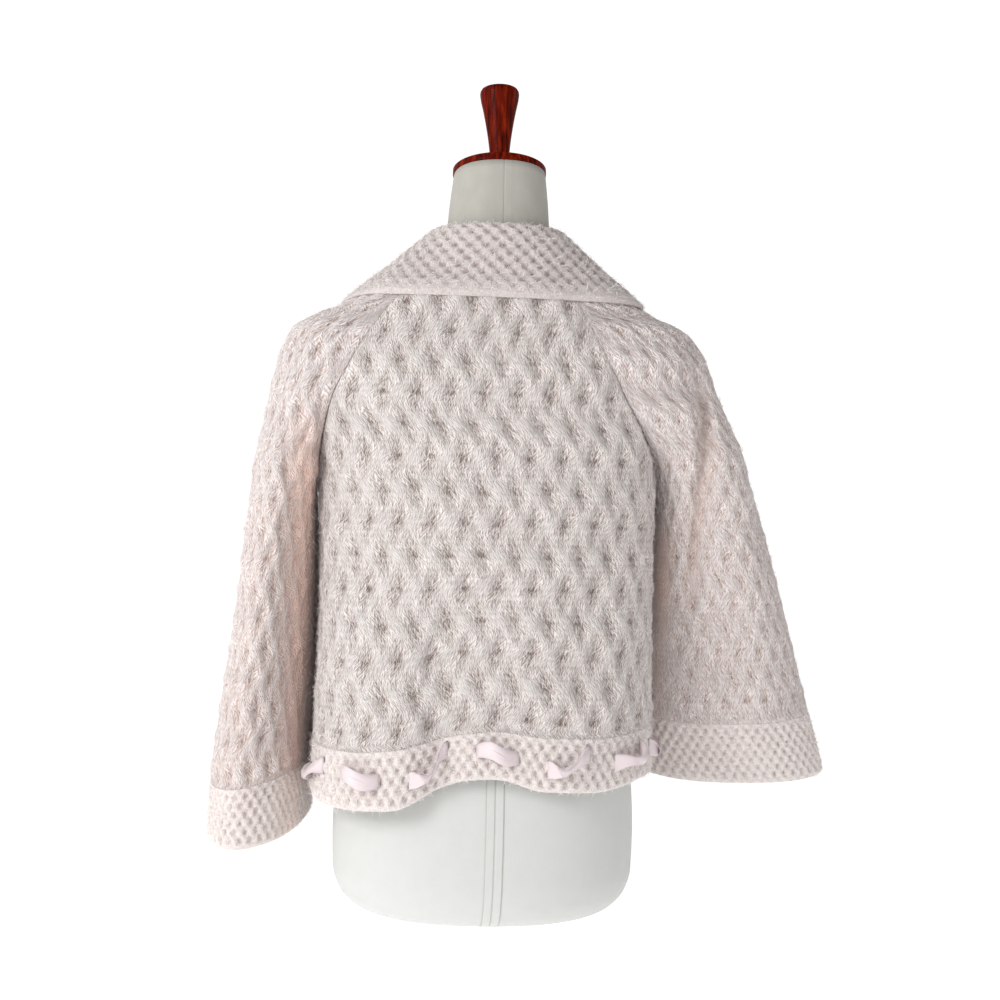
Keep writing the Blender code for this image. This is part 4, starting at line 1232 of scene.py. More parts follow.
def ribbon_path(along, flip, tilt):
    """Middle line of a stretch, the way out from the band there, and its room to turn."""
    part = np.linspace(0, 1, RIBBON_STEPS + 1)
    where = along + RIBBON_SPAN * (part - 0.5)
    spot = walk(RING, RING_PLACES, where)
    ahead = walk(RING, RING_PLACES, where + LOOK_AHEAD) - walk(RING, RING_PLACES, where - LOOK_AHEAD)
    out = np.cross(ahead, UP)
    out = out / np.linalg.norm(out, axis=1, keepdims=True)
    out = out * np.sign(out[:, :2] @ spot[len(part) // 2, :2])[:, None]
    free = 1 - RIBBON_PRESSED * math.exp(-(spot[:, 1].mean() / PRESSED_WITHIN) ** 2)
    away = RIBBON_THICKNESS / 2 + REST_GAP + RIBBON_CLEAR + RIBBON_BOW * np.sin(math.pi * part)
    away = away + free * (RIBBON_WIDTH / 2 + RIBBON_ARCH) * np.sin(math.pi * part)
    lean = flip * RIBBON_LEAN * np.sin(2 * math.pi * (part - 0.5)) / 2 + tilt * (part - 0.5)
    return spot + out * away[:, None] + UP * lean[:, None], out[:, None], free


print("a stretch spans", RIBBON_SPAN * 1000, "mm")


# %% One stretch with its turn or its gathered loop
RIBBON_ROWS = 12
TURN_PLACE = (0.30, 0.40)  # where along the stretch it turns over, and over which share
RIBBON_FOLD = 0.30  # its upper edge turns this much sooner than its middle
RIBBON_GATHER = 0.32  # a loop is this much narrower at its ends
RIBBON_PUCKER = 0.0014  # and has a soft ridge along it between two troughs, this deep
PUCKER_WAVES = 1.5  # waves of ridge and trough across its width


def ribbon_stretch(name, along, flip, tilt, twist):
    """One stretch that leaves the band and goes back in; twist is 1 to turn over, 0 to loop."""
    path, out, free = ribbon_path(along, flip, tilt)
    part = np.linspace(0, 1, RIBBON_STEPS + 1)[:, None, None]
    share = np.linspace(-1, 1, RIBBON_ROWS + 1)[None, :, None]
    turn = twist * math.pi * ease((part + RIBBON_FOLD * share - TURN_PLACE[0]) / TURN_PLACE[1])
    width = UP * np.cos(turn) + flip * free * out * np.sin(turn)
    hump = np.sin(math.pi * part)
    loop = 1 - twist
    width = width * (1 - loop * RIBBON_GATHER * (1 - np.sqrt(np.maximum(hump, 0))))
    rows = path[:, None] + share * width * RIBBON_WIDTH / 2
    rows = rows + loop * RIBBON_PUCKER * np.cos(PUCKER_WAVES * math.pi * share) * hump * out
    total = lengths(path)[-1]
    grid = Grid(
        lambda down: (rows[round(RIBBON_STEPS * down / total)], RIBBON_WIDTH / 2),
        np.linspace(0, total, RIBBON_STEPS + 1),
        columns=RIBBON_ROWS,
        turn=1,
    )
    grid.line(RIBBON_THICKNESS / 2)
    grid.points = 2 * grid.points - grid.lining
    return wall(name, grid, (grid.across, grid.down))


print("a loop is gathered by", RIBBON_GATHER)


# %% Every stretch that shows
RIBBON_PITCH = 0.071  # from stretch to stretch, along the band
RIBBON_FIRST = -0.003  # where the middle one lies, from the middle of the back
RIBBON_EACH_WAY = 6
RIBBON_BEHIND = (3, 11, 12)  # these stay behind the band
RIBBON_LOOPS = (2, 7, 9)  # these don't turn over
RIBBON_TILTS = {5: -0.010, 6: -0.016, 7: 0.004, 8: -0.016, 9: 0.006, 10: -0.012}
HEM_BACK_HALF = 0.27  # half the length of the band at the back
ribbons, bands = [], []
for n in range(1, 2 * RIBBON_EACH_WAY + 2):
    along = RIBBON_FIRST + (n - 1 - RIBBON_EACH_WAY) * RIBBON_PITCH
    if n not in RIBBON_BEHIND:
        name = f"satin_{len(ribbons) + 1:02d}"
        flip = 1 if n % 2 else -1
        twist = 0 if n in RIBBON_LOOPS else 1
        ribbons.append(ribbon_stretch(name, along, flip, RIBBON_TILTS.get(n, 0.0), twist))
        on_front = "hem_front_" + SIDE_NAMES[1 if along > 0 else -1]
        bands.append("hem_back" if abs(along) < HEM_BACK_HALF else on_front)
print("bands that the stretches lie on:", bands)

# %% [markdown]
# The dress form
#
# The form is a padded torso with a tight linen cover, made in panels: a taped seam runs down
# the middle of the back and of the front. The CAD solid is coarse, so the cover is laid again
# over the same sections. A subdivision of the solid would be quicker, but it would round off
# the seam.

# %% The form's sections
FORM = table(
    "height half_width back front",
    (0.000, 0.085, 0.060, 0.060),
    (0.005, 0.112, 0.084, 0.084),
    (0.014, 0.133, 0.099, 0.098),
    (0.030, 0.148, 0.109, 0.108),
    (0.050, 0.1545, 0.114, 0.112),
    (0.090, 0.1555, 0.116, 0.114),
    (0.130, 0.154, 0.114, 0.112),
    (0.180, 0.147, 0.106, 0.106),
    (0.230, 0.135, 0.094, 0.096),
    (0.285, 0.124, 0.084, 0.088),
    (0.340, 0.124, 0.085, 0.094),
    (0.400, 0.134, 0.092, 0.110),
    (0.455, 0.143, 0.099, 0.120),
    (0.500, 0.148, 0.102, 0.114),
    (0.545, 0.157, 0.100, 0.103),
    (0.5825, 0.167, 0.095, 0.090),
    (0.6032, 0.170, 0.089, 0.080),
    (0.6156, 0.158, 0.083, 0.072),
    (0.6290, 0.131, 0.075, 0.064),
    (0.6461, 0.094, 0.064, 0.052),
    (0.664, 0.068, 0.056, 0.048),
    (0.682, 0.0565, 0.0525, 0.048),
    (0.705, 0.0535, 0.052, 0.049),
    (0.735, 0.051, 0.050, 0.048),
    (0.766, 0.0475, 0.0475, 0.0465),
)
print("the form's sections:", len(FORM["height"]))

# %% One row round the form
FORM_SQUARE = 2.25  # 2 would be an oval
FORM_ROW_POINTS = 181
NECK_TOP = 0.766
NECK_SLOPE_START = 0.700
CAP_TILT = math.radians(12.0)  # the neck is cut aslant, lower in front


def form_row(height):
    """One section of the form from the middle of the front, all round and back to it."""
    angle = np.linspace(-math.pi, math.pi, FORM_ROW_POINTS)
    across = signed_power(np.sin(angle), 2 / FORM_SQUARE)
    deep = signed_power(np.cos(angle), 2 / FORM_SQUARE)
    reach = np.where(deep > 0, read(FORM, "back", height), read(FORM, "front", height))
    x, y = read(FORM, "half_width", height) * across, reach * deep
    tip = ease((height - NECK_SLOPE_START) / (NECK_TOP - NECK_SLOPE_START))
    return np.stack([x, y, height + y * math.tan(CAP_TILT) * tip], axis=1)


print("the neck is", round(float(np.ptp(form_row(NECK_TOP)[:, 0])), 3), "m wide at its top")

# %% Lay the cover's rows, with closer points beside the seam
FORM_HEIGHTS = np.concatenate([np.linspace(0, 0.03, 16), np.linspace(0.034, NECK_TOP, 100)])
BESIDE_SEAM = (0, 0.5, 0.9, 1.3, 2.0, 4.0, 6.6, 7.1, 7.5, 7.9, 8.3, 8.8, 9.4, 10.4)  # millimetres
EVEN_FROM = 0.014  # from here on the points are evenly spaced
EVEN_POINTS = 56
rows, across = [], []
for height in FORM_HEIGHTS:
    row = form_row(height)
    along = lengths(row)
    middle = along[-1] / 2
    even = np.linspace(EVEN_FROM, middle, EVEN_POINTS)
    half = np.concatenate([np.array(BESIDE_SEAM) / 1000, even])
    place = np.concatenate([-half[:0:-1], half])
    rows.append(walk(row, along, middle + place))
    across.append(place)
rows, across = np.array(rows), np.array(across)
normal = np.cross(np.gradient(rows, axis=1), np.gradient(rows, axis=0))
normal = normal / np.maximum(np.linalg.norm(normal, axis=2, keepdims=True), 1e-12)
normal = normal * np.sign(np.sum(normal * rows * (1, 1, 0), axis=2))[..., None]
print("the cover has", rows.shape[0], "rows of", rows.shape[1], "points")


# %% Raise the taped seam and close the cover
TAPE_WIDTH = 0.016
TAPE_RISE = 0.0007
TAPE_TOP = 0.60
TAPE_SLOPE = (0.0010, 0.0012)  # its edge starts this far outside, and slopes over this
TAPE_ENDS = (0.02, 0.01)  # it fades over these heights, under its top and above the foot
GROOVE = (0.0005, 0.0008)  # the seam's own groove: depth and width
EDGE_LINE = (0.0008, 0.0007)  # the dark line beside the tape: how far outside, and its width
SHADES = (0.6, 0.7, 0.85)  # of the groove, of the tape's edges, and the shade painted on the neck
NECK_SHADE_FROM = 0.66
NECK_SHADE_FADE = 0.06


def ring_faces(rings, steps):
    """Faces of some rings of points with so many steps each, closed round and at both ends."""
    numbers = np.arange(rings * steps).reshape(rings, steps)
    numbers = np.concatenate([numbers, numbers[:, :1]], axis=1)
    faces = quads(numbers, False)
    faces.append(numbers[0, :-1].tolist())
    faces.append(numbers[-1, :-1][::-1].tolist())
    return faces


down = np.repeat(FORM_HEIGHTS[:, None], rows.shape[1], axis=1)
from_middle = np.abs(across)
tape = ease((TAPE_WIDTH / 2 + TAPE_SLOPE[0] - from_middle) / TAPE_SLOPE[1])
tape = tape * ease((TAPE_TOP - down) / TAPE_ENDS[0])
groove = np.exp(-(from_middle / GROOVE[1]) ** 2)
seam_height = (TAPE_RISE * tape - GROOVE[0] * groove) * ease(down / TAPE_ENDS[1])
points = (rows + normal * seam_height[..., None])[:, :-1]
maps = np.stack([across[:, :-1].ravel(), down[:, :-1].ravel()], axis=1)
edges = np.exp(-((from_middle - TAPE_WIDTH / 2 - EDGE_LINE[0]) / EDGE_LINE[1]) ** 2)
# painted shade on the neck, darker towards its top
seams_and_neck_shade = ease((down - NECK_SHADE_FROM) / NECK_SHADE_FADE)
valley = (SHADES[0] * groove + SHADES[1] * edges + SHADES[2] * seams_and_neck_shade)[:, :-1].ravel()
faces = ring_faces(*points.shape[:2])
cover = add_cloth("linen_cover", points.reshape(-1, 3), faces, maps, valley=valley)

# %% [markdown]
# The turned cap and knob
#
# A turner cuts the cap and the knob on a lathe, so each is a profile swept round an axis.
# The screw modifier would do; the same few lines of points keep the mesh in our hands.


# %% Turn a profile on the neck's sloping axis
TURNED_STEPS = 96
MAP_RADIUS = 0.03  # the map is as wide as this radius all the way up


def turned(name, profile, lift):
    """A turned piece from a profile of (radius, height), from its top to its foot."""
    angle = np.linspace(0, 2 * math.pi, TURNED_STEPS, endpoint=False)
    circle = np.stack([np.cos(angle), np.sin(angle), 0 * angle], axis=1)
    rings = [circle * radius + (0, 0, height + lift) for radius, height in profile]
    tilt = np.array([
        (1, 0, 0),
        (0, math.cos(CAP_TILT), -math.sin(CAP_TILT)),
        (0, math.sin(CAP_TILT), math.cos(CAP_TILT)),
    ])
    points = np.concatenate(rings) @ tilt.T + (0, 0, NECK_TOP)
    round_it = np.tile(angle * MAP_RADIUS, len(profile))
    up_it = np.repeat([height for _, height in profile], TURNED_STEPS)
    faces = ring_faces(len(profile), TURNED_STEPS)
    return add_cloth(name, points, faces, np.stack([round_it, up_it], axis=1))


print("a turned ring has", TURNED_STEPS, "points")

# %% The cap and the knob
CAP_RADIUS = 0.0485
CAP_EDGE = 0.0065
CAP_DOME = 0.0075
CAP_FOOT = ((0, 0.0030), (0, 0.0012), (0.0004, 0.0004), (0.0012, 0.0))  # how far in, height
KNOB_HEIGHT = 0.083
KNOB = table(
    "part radius",
    (0.000, 0.0094),
    (0.060, 0.0098),
    (0.250, 0.0113),
    (0.500, 0.0142),
    (0.700, 0.0172),
    (0.860, 0.0199),
    (0.930, 0.0205),
    (0.975, 0.0190),
    (1.000, 0.0130),
)
KNOB_DISH = (0.008, 0.0002)  # a shallow dish in its top: radius and depth
TIP = 0.0004  # a turned top ends in a flat of this radius
profile = [(TIP, CAP_EDGE + CAP_DOME)]
for angle in np.radians(range(4, 91, 4)):
    profile.append((CAP_RADIUS * math.sin(angle), CAP_EDGE + CAP_DOME * math.cos(angle)))
for inset, height in CAP_FOOT:
    profile.append((CAP_RADIUS - inset, height))
cap = turned("turned_cap", profile, REST_GAP)
profile = [(TIP, KNOB_HEIGHT), (KNOB_DISH[0], KNOB_HEIGHT - KNOB_DISH[1])]
for part in np.linspace(1, 0, 40):
    profile.append((float(read(KNOB, "radius", part)), float(part) * KNOB_HEIGHT))
knob = turned("turned_knob", profile, CAP_EDGE + CAP_DOME + 2 * REST_GAP)

# %% [markdown]
# Brushed fibres
#
# Mohair is brushed after knitting, so fine fibres stand off the yarn and give the garment a
# soft pale edge. Hair curves would be natural, but a plain mesh of thin blades shows in any
# viewer. A real hair is ten times as thin as these blades of a third of a millimetre; finer
# ones would vanish between the picture's pixels. Each blade bends once, at its middle.


# %% Raise fibres from a cloth
FIBRE_WIDTH = 0.00032
FIBRE_LENGTH = 0.0075
FIBRE_SHARES = (0.5, 1.25)  # the shortest and the longest, as shares of that
FIBRE_LIFT = (0.15, 0.75)  # how steeply a fibre rises
FIBRE_DROOP = 0.35  # and how much of that it loses by its end
FIBRE_REACH = 0.8  # how far along the cloth it goes
FIBRE_CURL = 0.35
FIBRE_ROOT = 0.0003  # how deep in the cloth it starts


def aside_of(normals, rng):
    """A random unit direction along the surface for each normal."""
    aside = rng.normal(size=normals.shape)
    aside = aside - normals * np.sum(aside * normals, axis=1, keepdims=True)
    return aside / np.linalg.norm(aside, axis=1, keepdims=True)


def brush(name, grid, count, seed_number):
    """Thin bent blades that start on the outer side of a cloth."""
    rng = np.random.default_rng(seed_number)
    here, right, under = grid.points[:-1, :-1], grid.points[:-1, 1:], grid.points[1:, :-1]
    size = np.linalg.norm(np.cross(under - here, right - here), axis=2)
    chosen = rng.choice(size.size, size=count, p=size.ravel() / size.sum())
    row, column = np.unravel_index(chosen, size.shape)
    share = rng.random((count, 2, 1))
    here, right, under = here[row, column], right[row, column], under[row, column]
    root = here + (right - here) * share[:, 0] + (under - here) * share[:, 1]
    up = grid.normals()[row, column]
    aside = aside_of(up, rng)
    lift = rng.uniform(*FIBRE_LIFT, (count, 1))
    size = FIBRE_LENGTH * rng.uniform(*FIBRE_SHARES, (count, 1))
    curl = np.cross(up, aside) * rng.normal(0, FIBRE_CURL, (count, 1))
    path = []
    for step in (0.0, 0.5, 1.0):
        bend = up * lift * (step - FIBRE_DROOP * step ** 2) + aside * step * FIBRE_REACH
        path.append(root - up * FIBRE_ROOT + size * (bend + curl * step ** 2))
    half = np.cross(path[-1] - path[0], rng.normal(size=(count, 3)))
    half = half / np.linalg.norm(half, axis=1, keepdims=True) * FIBRE_WIDTH / 2
    corners = [path[0] - half, path[0] + half, path[1] - half, path[1] + half, path[2]]
    points = np.stack(corners, axis=1).reshape(-1, 3)
    first = np.arange(count)[:, None] * len(corners)
    faces = (first + (0, 1, 3, 2)).tolist() + (first + (2, 3, 4)).tolist()
    return add_cloth(name, points, faces, np.zeros((len(points), 2)))


print("fibres are up to", round(1000 * FIBRE_LENGTH * FIBRE_SHARES[1], 1), "mm long")

# %% Fibres on every knitted piece
FIBRE_COUNTS = {
    "knit_back": 16000,
    "knit_sleeve_left": 12000,
    "knit_sleeve_right": 12000,
    "knit_front_left": 4500,
    "knit_front_right": 4500,
    "knit_collar": 9000,
    "knit_hem_back": 7000,
    "knit_cuff_left": 4500,
    "knit_cuff_right": 4500,
    "knit_hem_front_left": 2200,
    "knit_hem_front_right": 2200,
    "knit_front_band_left": 1200,
    "knit_front_band_right": 1200,
}
FIRST_SEED = 11
fibres = {}
for number, (name, count) in enumerate(FIBRE_COUNTS.items()):
    fibres[name] = brush(name.replace("knit", "fibres"), CLOTHS[name], count, FIRST_SEED + number)

# %% [markdown]
# Colours and nodes
#
# A colour is picked as an sRGB hex value, the way a screen shows it, and turned to the linear
# light that a shader works in. A finish is a net of nodes. It could be drawn by hand in the
# shader editor; one small function that adds a node and joins it keeps a net readable here.
# A pattern's size is given in millimetres, and the texture's scale is worked out from it.


# %% Helpers for colours, materials and nodes
WAVE_PERIOD = math.pi / 10  # a wave texture at scale 1 repeats after this many metres


def colour(hex_value):
    """Linear RGBA from an sRGB hex value."""
    parts = [int(hex_value[n:n + 2], 16) / 255 for n in (1, 3, 5)]
    return (*[c / 12.92 if c <= 0.04045 else ((c + 0.055) / 1.055) ** 2.4 for c in parts], 1.0)


def repeats(millimetres, period=1.0):
    """A texture's scale, as a whole number, for a pattern that repeats at this size."""
    return round(1000 * period / millimetres)


def new_material(name, base, roughness, **inputs):
    """A Principled material with a few inputs set by name."""
    material = bpy.data.materials.new(name)
    material.use_nodes = True
    shader = material.node_tree.nodes["Principled BSDF"]
    shader.inputs["Base Color"].default_value = colour(base)
    shader.inputs["Roughness"].default_value = roughness
    for label, value in inputs.items():
        shader.inputs[label.replace("_", " ")].default_value = value
    return material, material.node_tree, shader


def add(tree, kind, inputs=(), out=0, stops=(), **settings):
    """Adds a node and gives one output; inputs, by place or name, are values or outputs."""
    node = tree.nodes.new("ShaderNode" + kind)
    for label, value in settings.items():
        setattr(node, label, value)
    for key, value in inputs.items() if isinstance(inputs, dict) else enumerate(inputs):
        if isinstance(value, bpy.types.NodeSocket):
            tree.links.new(value, node.inputs[key])
        else:
            node.inputs[key].default_value = value
    while stops and len(node.color_ramp.elements) < len(stops):
        node.color_ramp.elements.new(0.5)
    for number, (place, hex_value) in enumerate(stops):
        node.color_ramp.elements[number].position = place
        node.color_ramp.elements[number].color = colour(hex_value)
    return node.outputs[out]


print("middle grey in linear light:", round(colour("#808080")[0], 3))

# %% [markdown]
# Mohair: the stitches
#
# Mohair is goat's hair, spun loosely, knitted and then brushed. From a metre away the eye
# sees no single hair, only soft V stitches under a fur. Modelling each stitch would take
# millions of faces, so the V is worked out from the stitch map: two strokes of yarn lean
# towards each other, one V to a stitch. The map is first stirred with a noise, because hand
# knitting is never even.


# %% The V of a stitch
STIR_SIZE = 5.88  # millimetres: about one stitch
STIR = (0.0040, 0.0060, 0.0)  # how far the noise may move the map, across and down
V_LEAN = -1.22  # stitches that a stroke climbs from the middle of the V to its side
STROKE_POWER = 1.6  # above 1, strokes are wider than the gaps between them
SIDE_GAP = 0.45  # how deep the line is between one column of stitches and the next
SIDE_POWER = 4.0


def stitch_gaps(tree, uv, stitch, clear):
    """How deep a point lies between strokes of yarn, for a V of a width and a height."""
    noise = {"Vector": uv, "Scale": repeats(STIR_SIZE), "Detail": 3.0, "Roughness": 0.65}
    stir = add(tree, "TexNoise", noise, out=1)
    stir = add(tree, "VectorMath", (stir, (0.5, 0.5, 0.5)), operation="SUBTRACT")
    stir = add(tree, "VectorMath", (stir, STIR), operation="MULTIPLY")
    place = add(tree, "VectorMath", (uv, stir), operation="ADD")
    x = add(tree, "SeparateXYZ", (place,), out=0)
    y = add(tree, "SeparateXYZ", (place,), out=1)
    column = add(tree, "Math", (x, stitch[0]), operation="DIVIDE")
    row = add(tree, "Math", (y, stitch[1]), operation="DIVIDE")
    aside = add(tree, "Math", (column,), operation="FRACT")
    aside = add(tree, "Math", (aside, 0.5), operation="SUBTRACT")
    aside = add(tree, "Math", (aside,), operation="ABSOLUTE")
    aside = add(tree, "Math", (aside, 2.0), operation="MULTIPLY")
    stroke = add(tree, "Math", (aside, V_LEAN, row), operation="MULTIPLY_ADD")
    stroke = add(tree, "Math", (stroke, 2 * math.pi), operation="MULTIPLY")
    stroke = add(tree, "Math", (stroke,), operation="SINE")
    gap = add(tree, "Math", (stroke, -0.5, 0.5), operation="MULTIPLY_ADD")
    gap = add(tree, "Math", (gap, STROKE_POWER), operation="POWER")
    side = add(tree, "Math", (aside, SIDE_POWER), operation="POWER")
    gap = add(tree, "Math", (side, SIDE_GAP, gap), operation="MULTIPLY_ADD")
    return add(tree, "Math", (gap, clear), operation="MULTIPLY")


print("the map is stirred", repeats(STIR_SIZE), "times in a metre")

# %% [markdown]
# Mohair: the fur and its colours
#
# The hair's scales lie flat, so mohair is matte face on and has a silky bloom at grazing
# angles: a high roughness with some sheen, and the default IOR of 1.5, near that of hair.
# Hair particles could make the fur, but a noise that is drawn out along the yarn looks the
# same from a metre away. A real hair is 0.03 mm thick; it is drawn 2.38 mm coarse, or it
# would not show. The same depth gives the bump and the colour: light on the strokes, with
# shade painted between them and in the valleys of the cable. The blush, painted warm light,
# is mixed in last.


# %% Brushed mohair knitting
FUR_SIZE = 2.38  # millimetres
FUR_BUMP = 0.0012
CLOUD_SIZE = 45.5  # millimetres: soft, wide changes of tone
CLOUD_TONE = 0.25
PAINTED_VALLEY_SHADE = 0.6  # painted shade: how much a valley darkens the wool, and a gap between strokes
PAINTED_GAP_SHADE = 0.34
TONE_PLACES = (0.06, 0.45, 1.0)  # where the light, middle and deep tones lie
# the blush: painted warm light between close layers of wool
BLUSH = "#EECBBD"


def mohair(name, tones, stitch, clear, strength, grain, fur=2.8, shadow=0.7):
    """Knitted mohair with light, middle and deep tones; grain stretches its fur."""
    material, tree, shader = new_material(name, tones[0], 0.92, Sheen_Weight=0.35, Sheen_Roughness=0.45)
    uv = add(tree, "UVMap", uv_map="knit")
    drawn = add(tree, "VectorMath", (uv, grain), operation="MULTIPLY")
    noise = {"Vector": drawn, "Scale": repeats(FUR_SIZE), "Detail": 3.0, "Roughness": 0.6}
    hair = add(tree, "Math", (add(tree, "TexNoise", noise), 0.5), operation="SUBTRACT")
    gap = stitch_gaps(tree, uv, stitch, clear)
    gap = add(tree, "Math", (hair, -fur, gap), operation="MULTIPLY_ADD")
    bump = {"Strength": strength, "Distance": FUR_BUMP, "Height": gap}
    tree.links.new(add(tree, "Bump", bump, invert=True), shader.inputs["Normal"])
    valley = add(tree, "Attribute", out="Fac", attribute_name="valley")
    depth = add(tree, "Math", (gap, shadow, PAINTED_VALLEY_SHADE), operation="MULTIPLY_ADD")
    depth = add(tree, "Math", (depth, valley), operation="MULTIPLY")
    tone = add(tree, "Math", (gap, PAINTED_GAP_SHADE, depth), operation="MULTIPLY_ADD")
    cloud = add(tree, "TexNoise", {"Vector": uv, "Scale": repeats(CLOUD_SIZE), "Detail": 2.0})
    cloud = add(tree, "Math", (cloud, 0.5), operation="SUBTRACT")
    tone = add(tree, "Math", (cloud, CLOUD_TONE, tone), operation="MULTIPLY_ADD")
    shade = add(tree, "ValToRGB", (tone,), stops=list(zip(TONE_PLACES, tones)))
    blush = add(tree, "Attribute", out="Fac", attribute_name="blush")
    warm = add(tree, "MixRGB", (blush, shade, colour(BLUSH)))
    tree.links.new(warm, shader.inputs["Base Color"])
    return material


print("the fur repeats", repeats(FUR_SIZE), "times in a metre")

# %% [markdown]
# Mohair: one yarn, four looks
#
# The whole cardigan is knitted from one yarn, and one material could serve it all. But cable
# shows long clean strokes, seed stitch is a blur of short ones, and the collar is thick and
# lies in its own shade. So each gets its own stitch size, its own fur and its own tones: the
# collar's darker tones are painted shade, and the sleeves' warmer deep tone is painted warm
# light in their shade. The loose fibres need no pattern: each is one hair.

# %% The mohairs of this cardigan
CABLE_FUR = (1.0, 0.28, 1.0)  # long hairs down the ropes
SEED_FUR = (0.6, 0.9, 1.0)  # short ones, a little longer across
MOHAIR = mohair(
    "brushed_mohair_cable_knit",
    tones=("#F1EAE7", "#CDC1BC", "#857168"),
    stitch=(0.0050, 0.0062),
    clear=0.8,
    strength=1.0,
    grain=CABLE_FUR,
)
# its warmer, lighter deep tone is painted warm light in the sleeves' shade
SLEEVE_MOHAIR = mohair(
    "brushed_mohair_sleeve_knit",
    tones=("#EEE7E6", "#CFBFBA", "#9C8279"),
    stitch=(0.0052, 0.0060),
    clear=0.8,
    strength=0.9,
    grain=CABLE_FUR,
)
SEED = mohair(
    "brushed_mohair_seed_stitch",
    tones=("#E2DAD7", "#BCAFAA", "#7B6963"),
    stitch=(0.0055, 0.0080),
    clear=0.2,
    strength=0.7,
    grain=SEED_FUR,
    fur=1.8,
    shadow=0.5,
)
# its darker tones are painted shade
COLLAR_MOHAIR = mohair(
    "brushed_mohair_collar",
    tones=("#CEC5C2", "#AA9D99", "#665752"),
    stitch=(0.0055, 0.0080),
    clear=0.2,
    strength=0.8,
    grain=SEED_FUR,
    fur=1.8,
    shadow=0.6,
)
FIBRE = new_material("mohair_fibre", "#EFE8E5", 0.75, Sheen_Weight=0.3)[0]
print("mohairs:", [material.name for material in (MOHAIR, SLEEVE_MOHAIR, SEED, COLLAR_MOHAIR, FIBRE)])

# %% [markdown]
# Satin ribbon
#
# Satin is woven so that long threads float side by side on its face. They are smooth, so it
# shines softly, and the shine is drawn out across the threads: a middling roughness with some
# anisotropy. A picture of satin could be laid on, but a wave texture stays sharp however near
# one looks. The threads lie 0.15 mm apart on the real ribbon, and are drawn three times as
# coarse, or they would not show.

# %% Woven satin
SATIN_THREAD = 0.449  # millimetres
SATIN, tree, shader = new_material(
    "woven_satin_ribbon", "#D9CBCE", 0.34, Sheen_Weight=0.15, Anisotropic=0.5)
uv = add(tree, "UVMap", uv_map="knit")
wave = {"Vector": uv, "Scale": repeats(SATIN_THREAD, WAVE_PERIOD), "Distortion": 1.0}
threads = add(tree, "TexWave", wave, out=1, bands_direction="X")
bump = add(tree, "Bump", {"Strength": 0.25, "Distance": 0.0002, "Height": threads})
tint = add(tree, "ValToRGB", (threads,), stops=[(0.0, "#D2C3C6"), (1.0, "#E0D3D6")])
tree.links.new(bump, shader.inputs["Normal"])
tree.links.new(tint, shader.inputs["Base Color"])
print(SATIN.name, "has", len(tree.nodes), "nodes")

# %% [markdown]
# Linen cover
#
# Linen is spun from flax and woven plainly, one over and one under. Flax is uneven, so some
# threads are thicker for a stretch; weavers call those slubs, and they give the cloth its dry,
# matte look, so the roughness is high. A brick texture could draw the threads, but two wave
# textures at right angles, multiplied, round them too, and a noise adds the slubs. The
# threads are 0.5 mm on the real cover and are drawn 1.96 mm, so that they show. The colour is
# darker in the seam's grooves, and the neck is painted darker for the shade it lies in.

# %% Plain-woven linen
LINEN_THREAD = 1.96  # millimetres
SLUB_SIZE = 16.7  # millimetres
LINEN, tree, shader = new_material("plain_woven_linen", "#E2E2DD", 0.85, Sheen_Weight=0.1)
uv = add(tree, "UVMap", uv_map="knit")
wave = {"Vector": uv, "Scale": repeats(LINEN_THREAD, WAVE_PERIOD), "Distortion": 1.5}
warp = add(tree, "TexWave", wave, out=1, bands_direction="X")
weft = add(tree, "TexWave", wave, out=1, bands_direction="Y")
weave = add(tree, "Math", (warp, weft), operation="MULTIPLY")
slub = add(tree, "TexNoise", {"Vector": uv, "Scale": repeats(SLUB_SIZE), "Detail": 4.0})
weave = add(tree, "Math", (weave, slub), operation="ADD")
bump = add(tree, "Bump", {"Strength": 0.25, "Distance": 0.0003, "Height": weave})
# the seam's dark lines, and the shade painted on the neck
seams_and_neck_shade = add(tree, "Attribute", out="Fac", attribute_name="valley")
tone = add(tree, "Math", (slub, 0.25, seams_and_neck_shade), operation="MULTIPLY_ADD")
shade = add(tree, "ValToRGB", (tone,), stops=[(0.0, "#CACBC9"), (0.25, "#C4C5C2"), (1.0, "#A19E96")])
tree.links.new(bump, shader.inputs["Normal"])
tree.links.new(shade, shader.inputs["Base Color"])
print(LINEN.name, "has", len(tree.nodes), "nodes")

# %% [markdown]
# Lacquered wood
#
# The cap and the knob are turned from mahogany, a red-brown wood with long fine pores, and
# lacquered. Lacquer is a clear coat, so the shine comes from the coat and hardly from the
# wood. In this soft light it mirrors little, so it is kept low. A wave texture would draw
# even rings, but mahogany's grain is broken. So it is a noise that is stretched along the
# turning axis: about 3 mm across, and nine times as long.

# %% Mahogany under lacquer
GRAIN_WIDTH = 3.33  # millimetres
GRAIN_LENGTH = 28.6
WOOD, tree, shader = new_material(
    "lacquered_mahogany", "#6A1A08", 0.5, Specular_IOR_Level=0.02, Coat_Weight=0.025, Coat_Roughness=0.08)
shape = add(tree, "TexCoord", out="Object")
stretch = (repeats(GRAIN_WIDTH), repeats(GRAIN_WIDTH), repeats(GRAIN_LENGTH))
shape = add(tree, "VectorMath", (shape, stretch), operation="MULTIPLY")
grain = add(tree, "TexNoise", {"Vector": shape, "Scale": 1.0, "Detail": 6.0})
shade = add(tree, "ValToRGB", (grain,), stops=[(0.35, "#2E0602"), (0.55, "#5E1104"), (0.75, "#8A2A08")])
tree.links.new(shade, shader.inputs["Base Color"])
print(WOOD.name, "has", len(tree.nodes), "nodes")

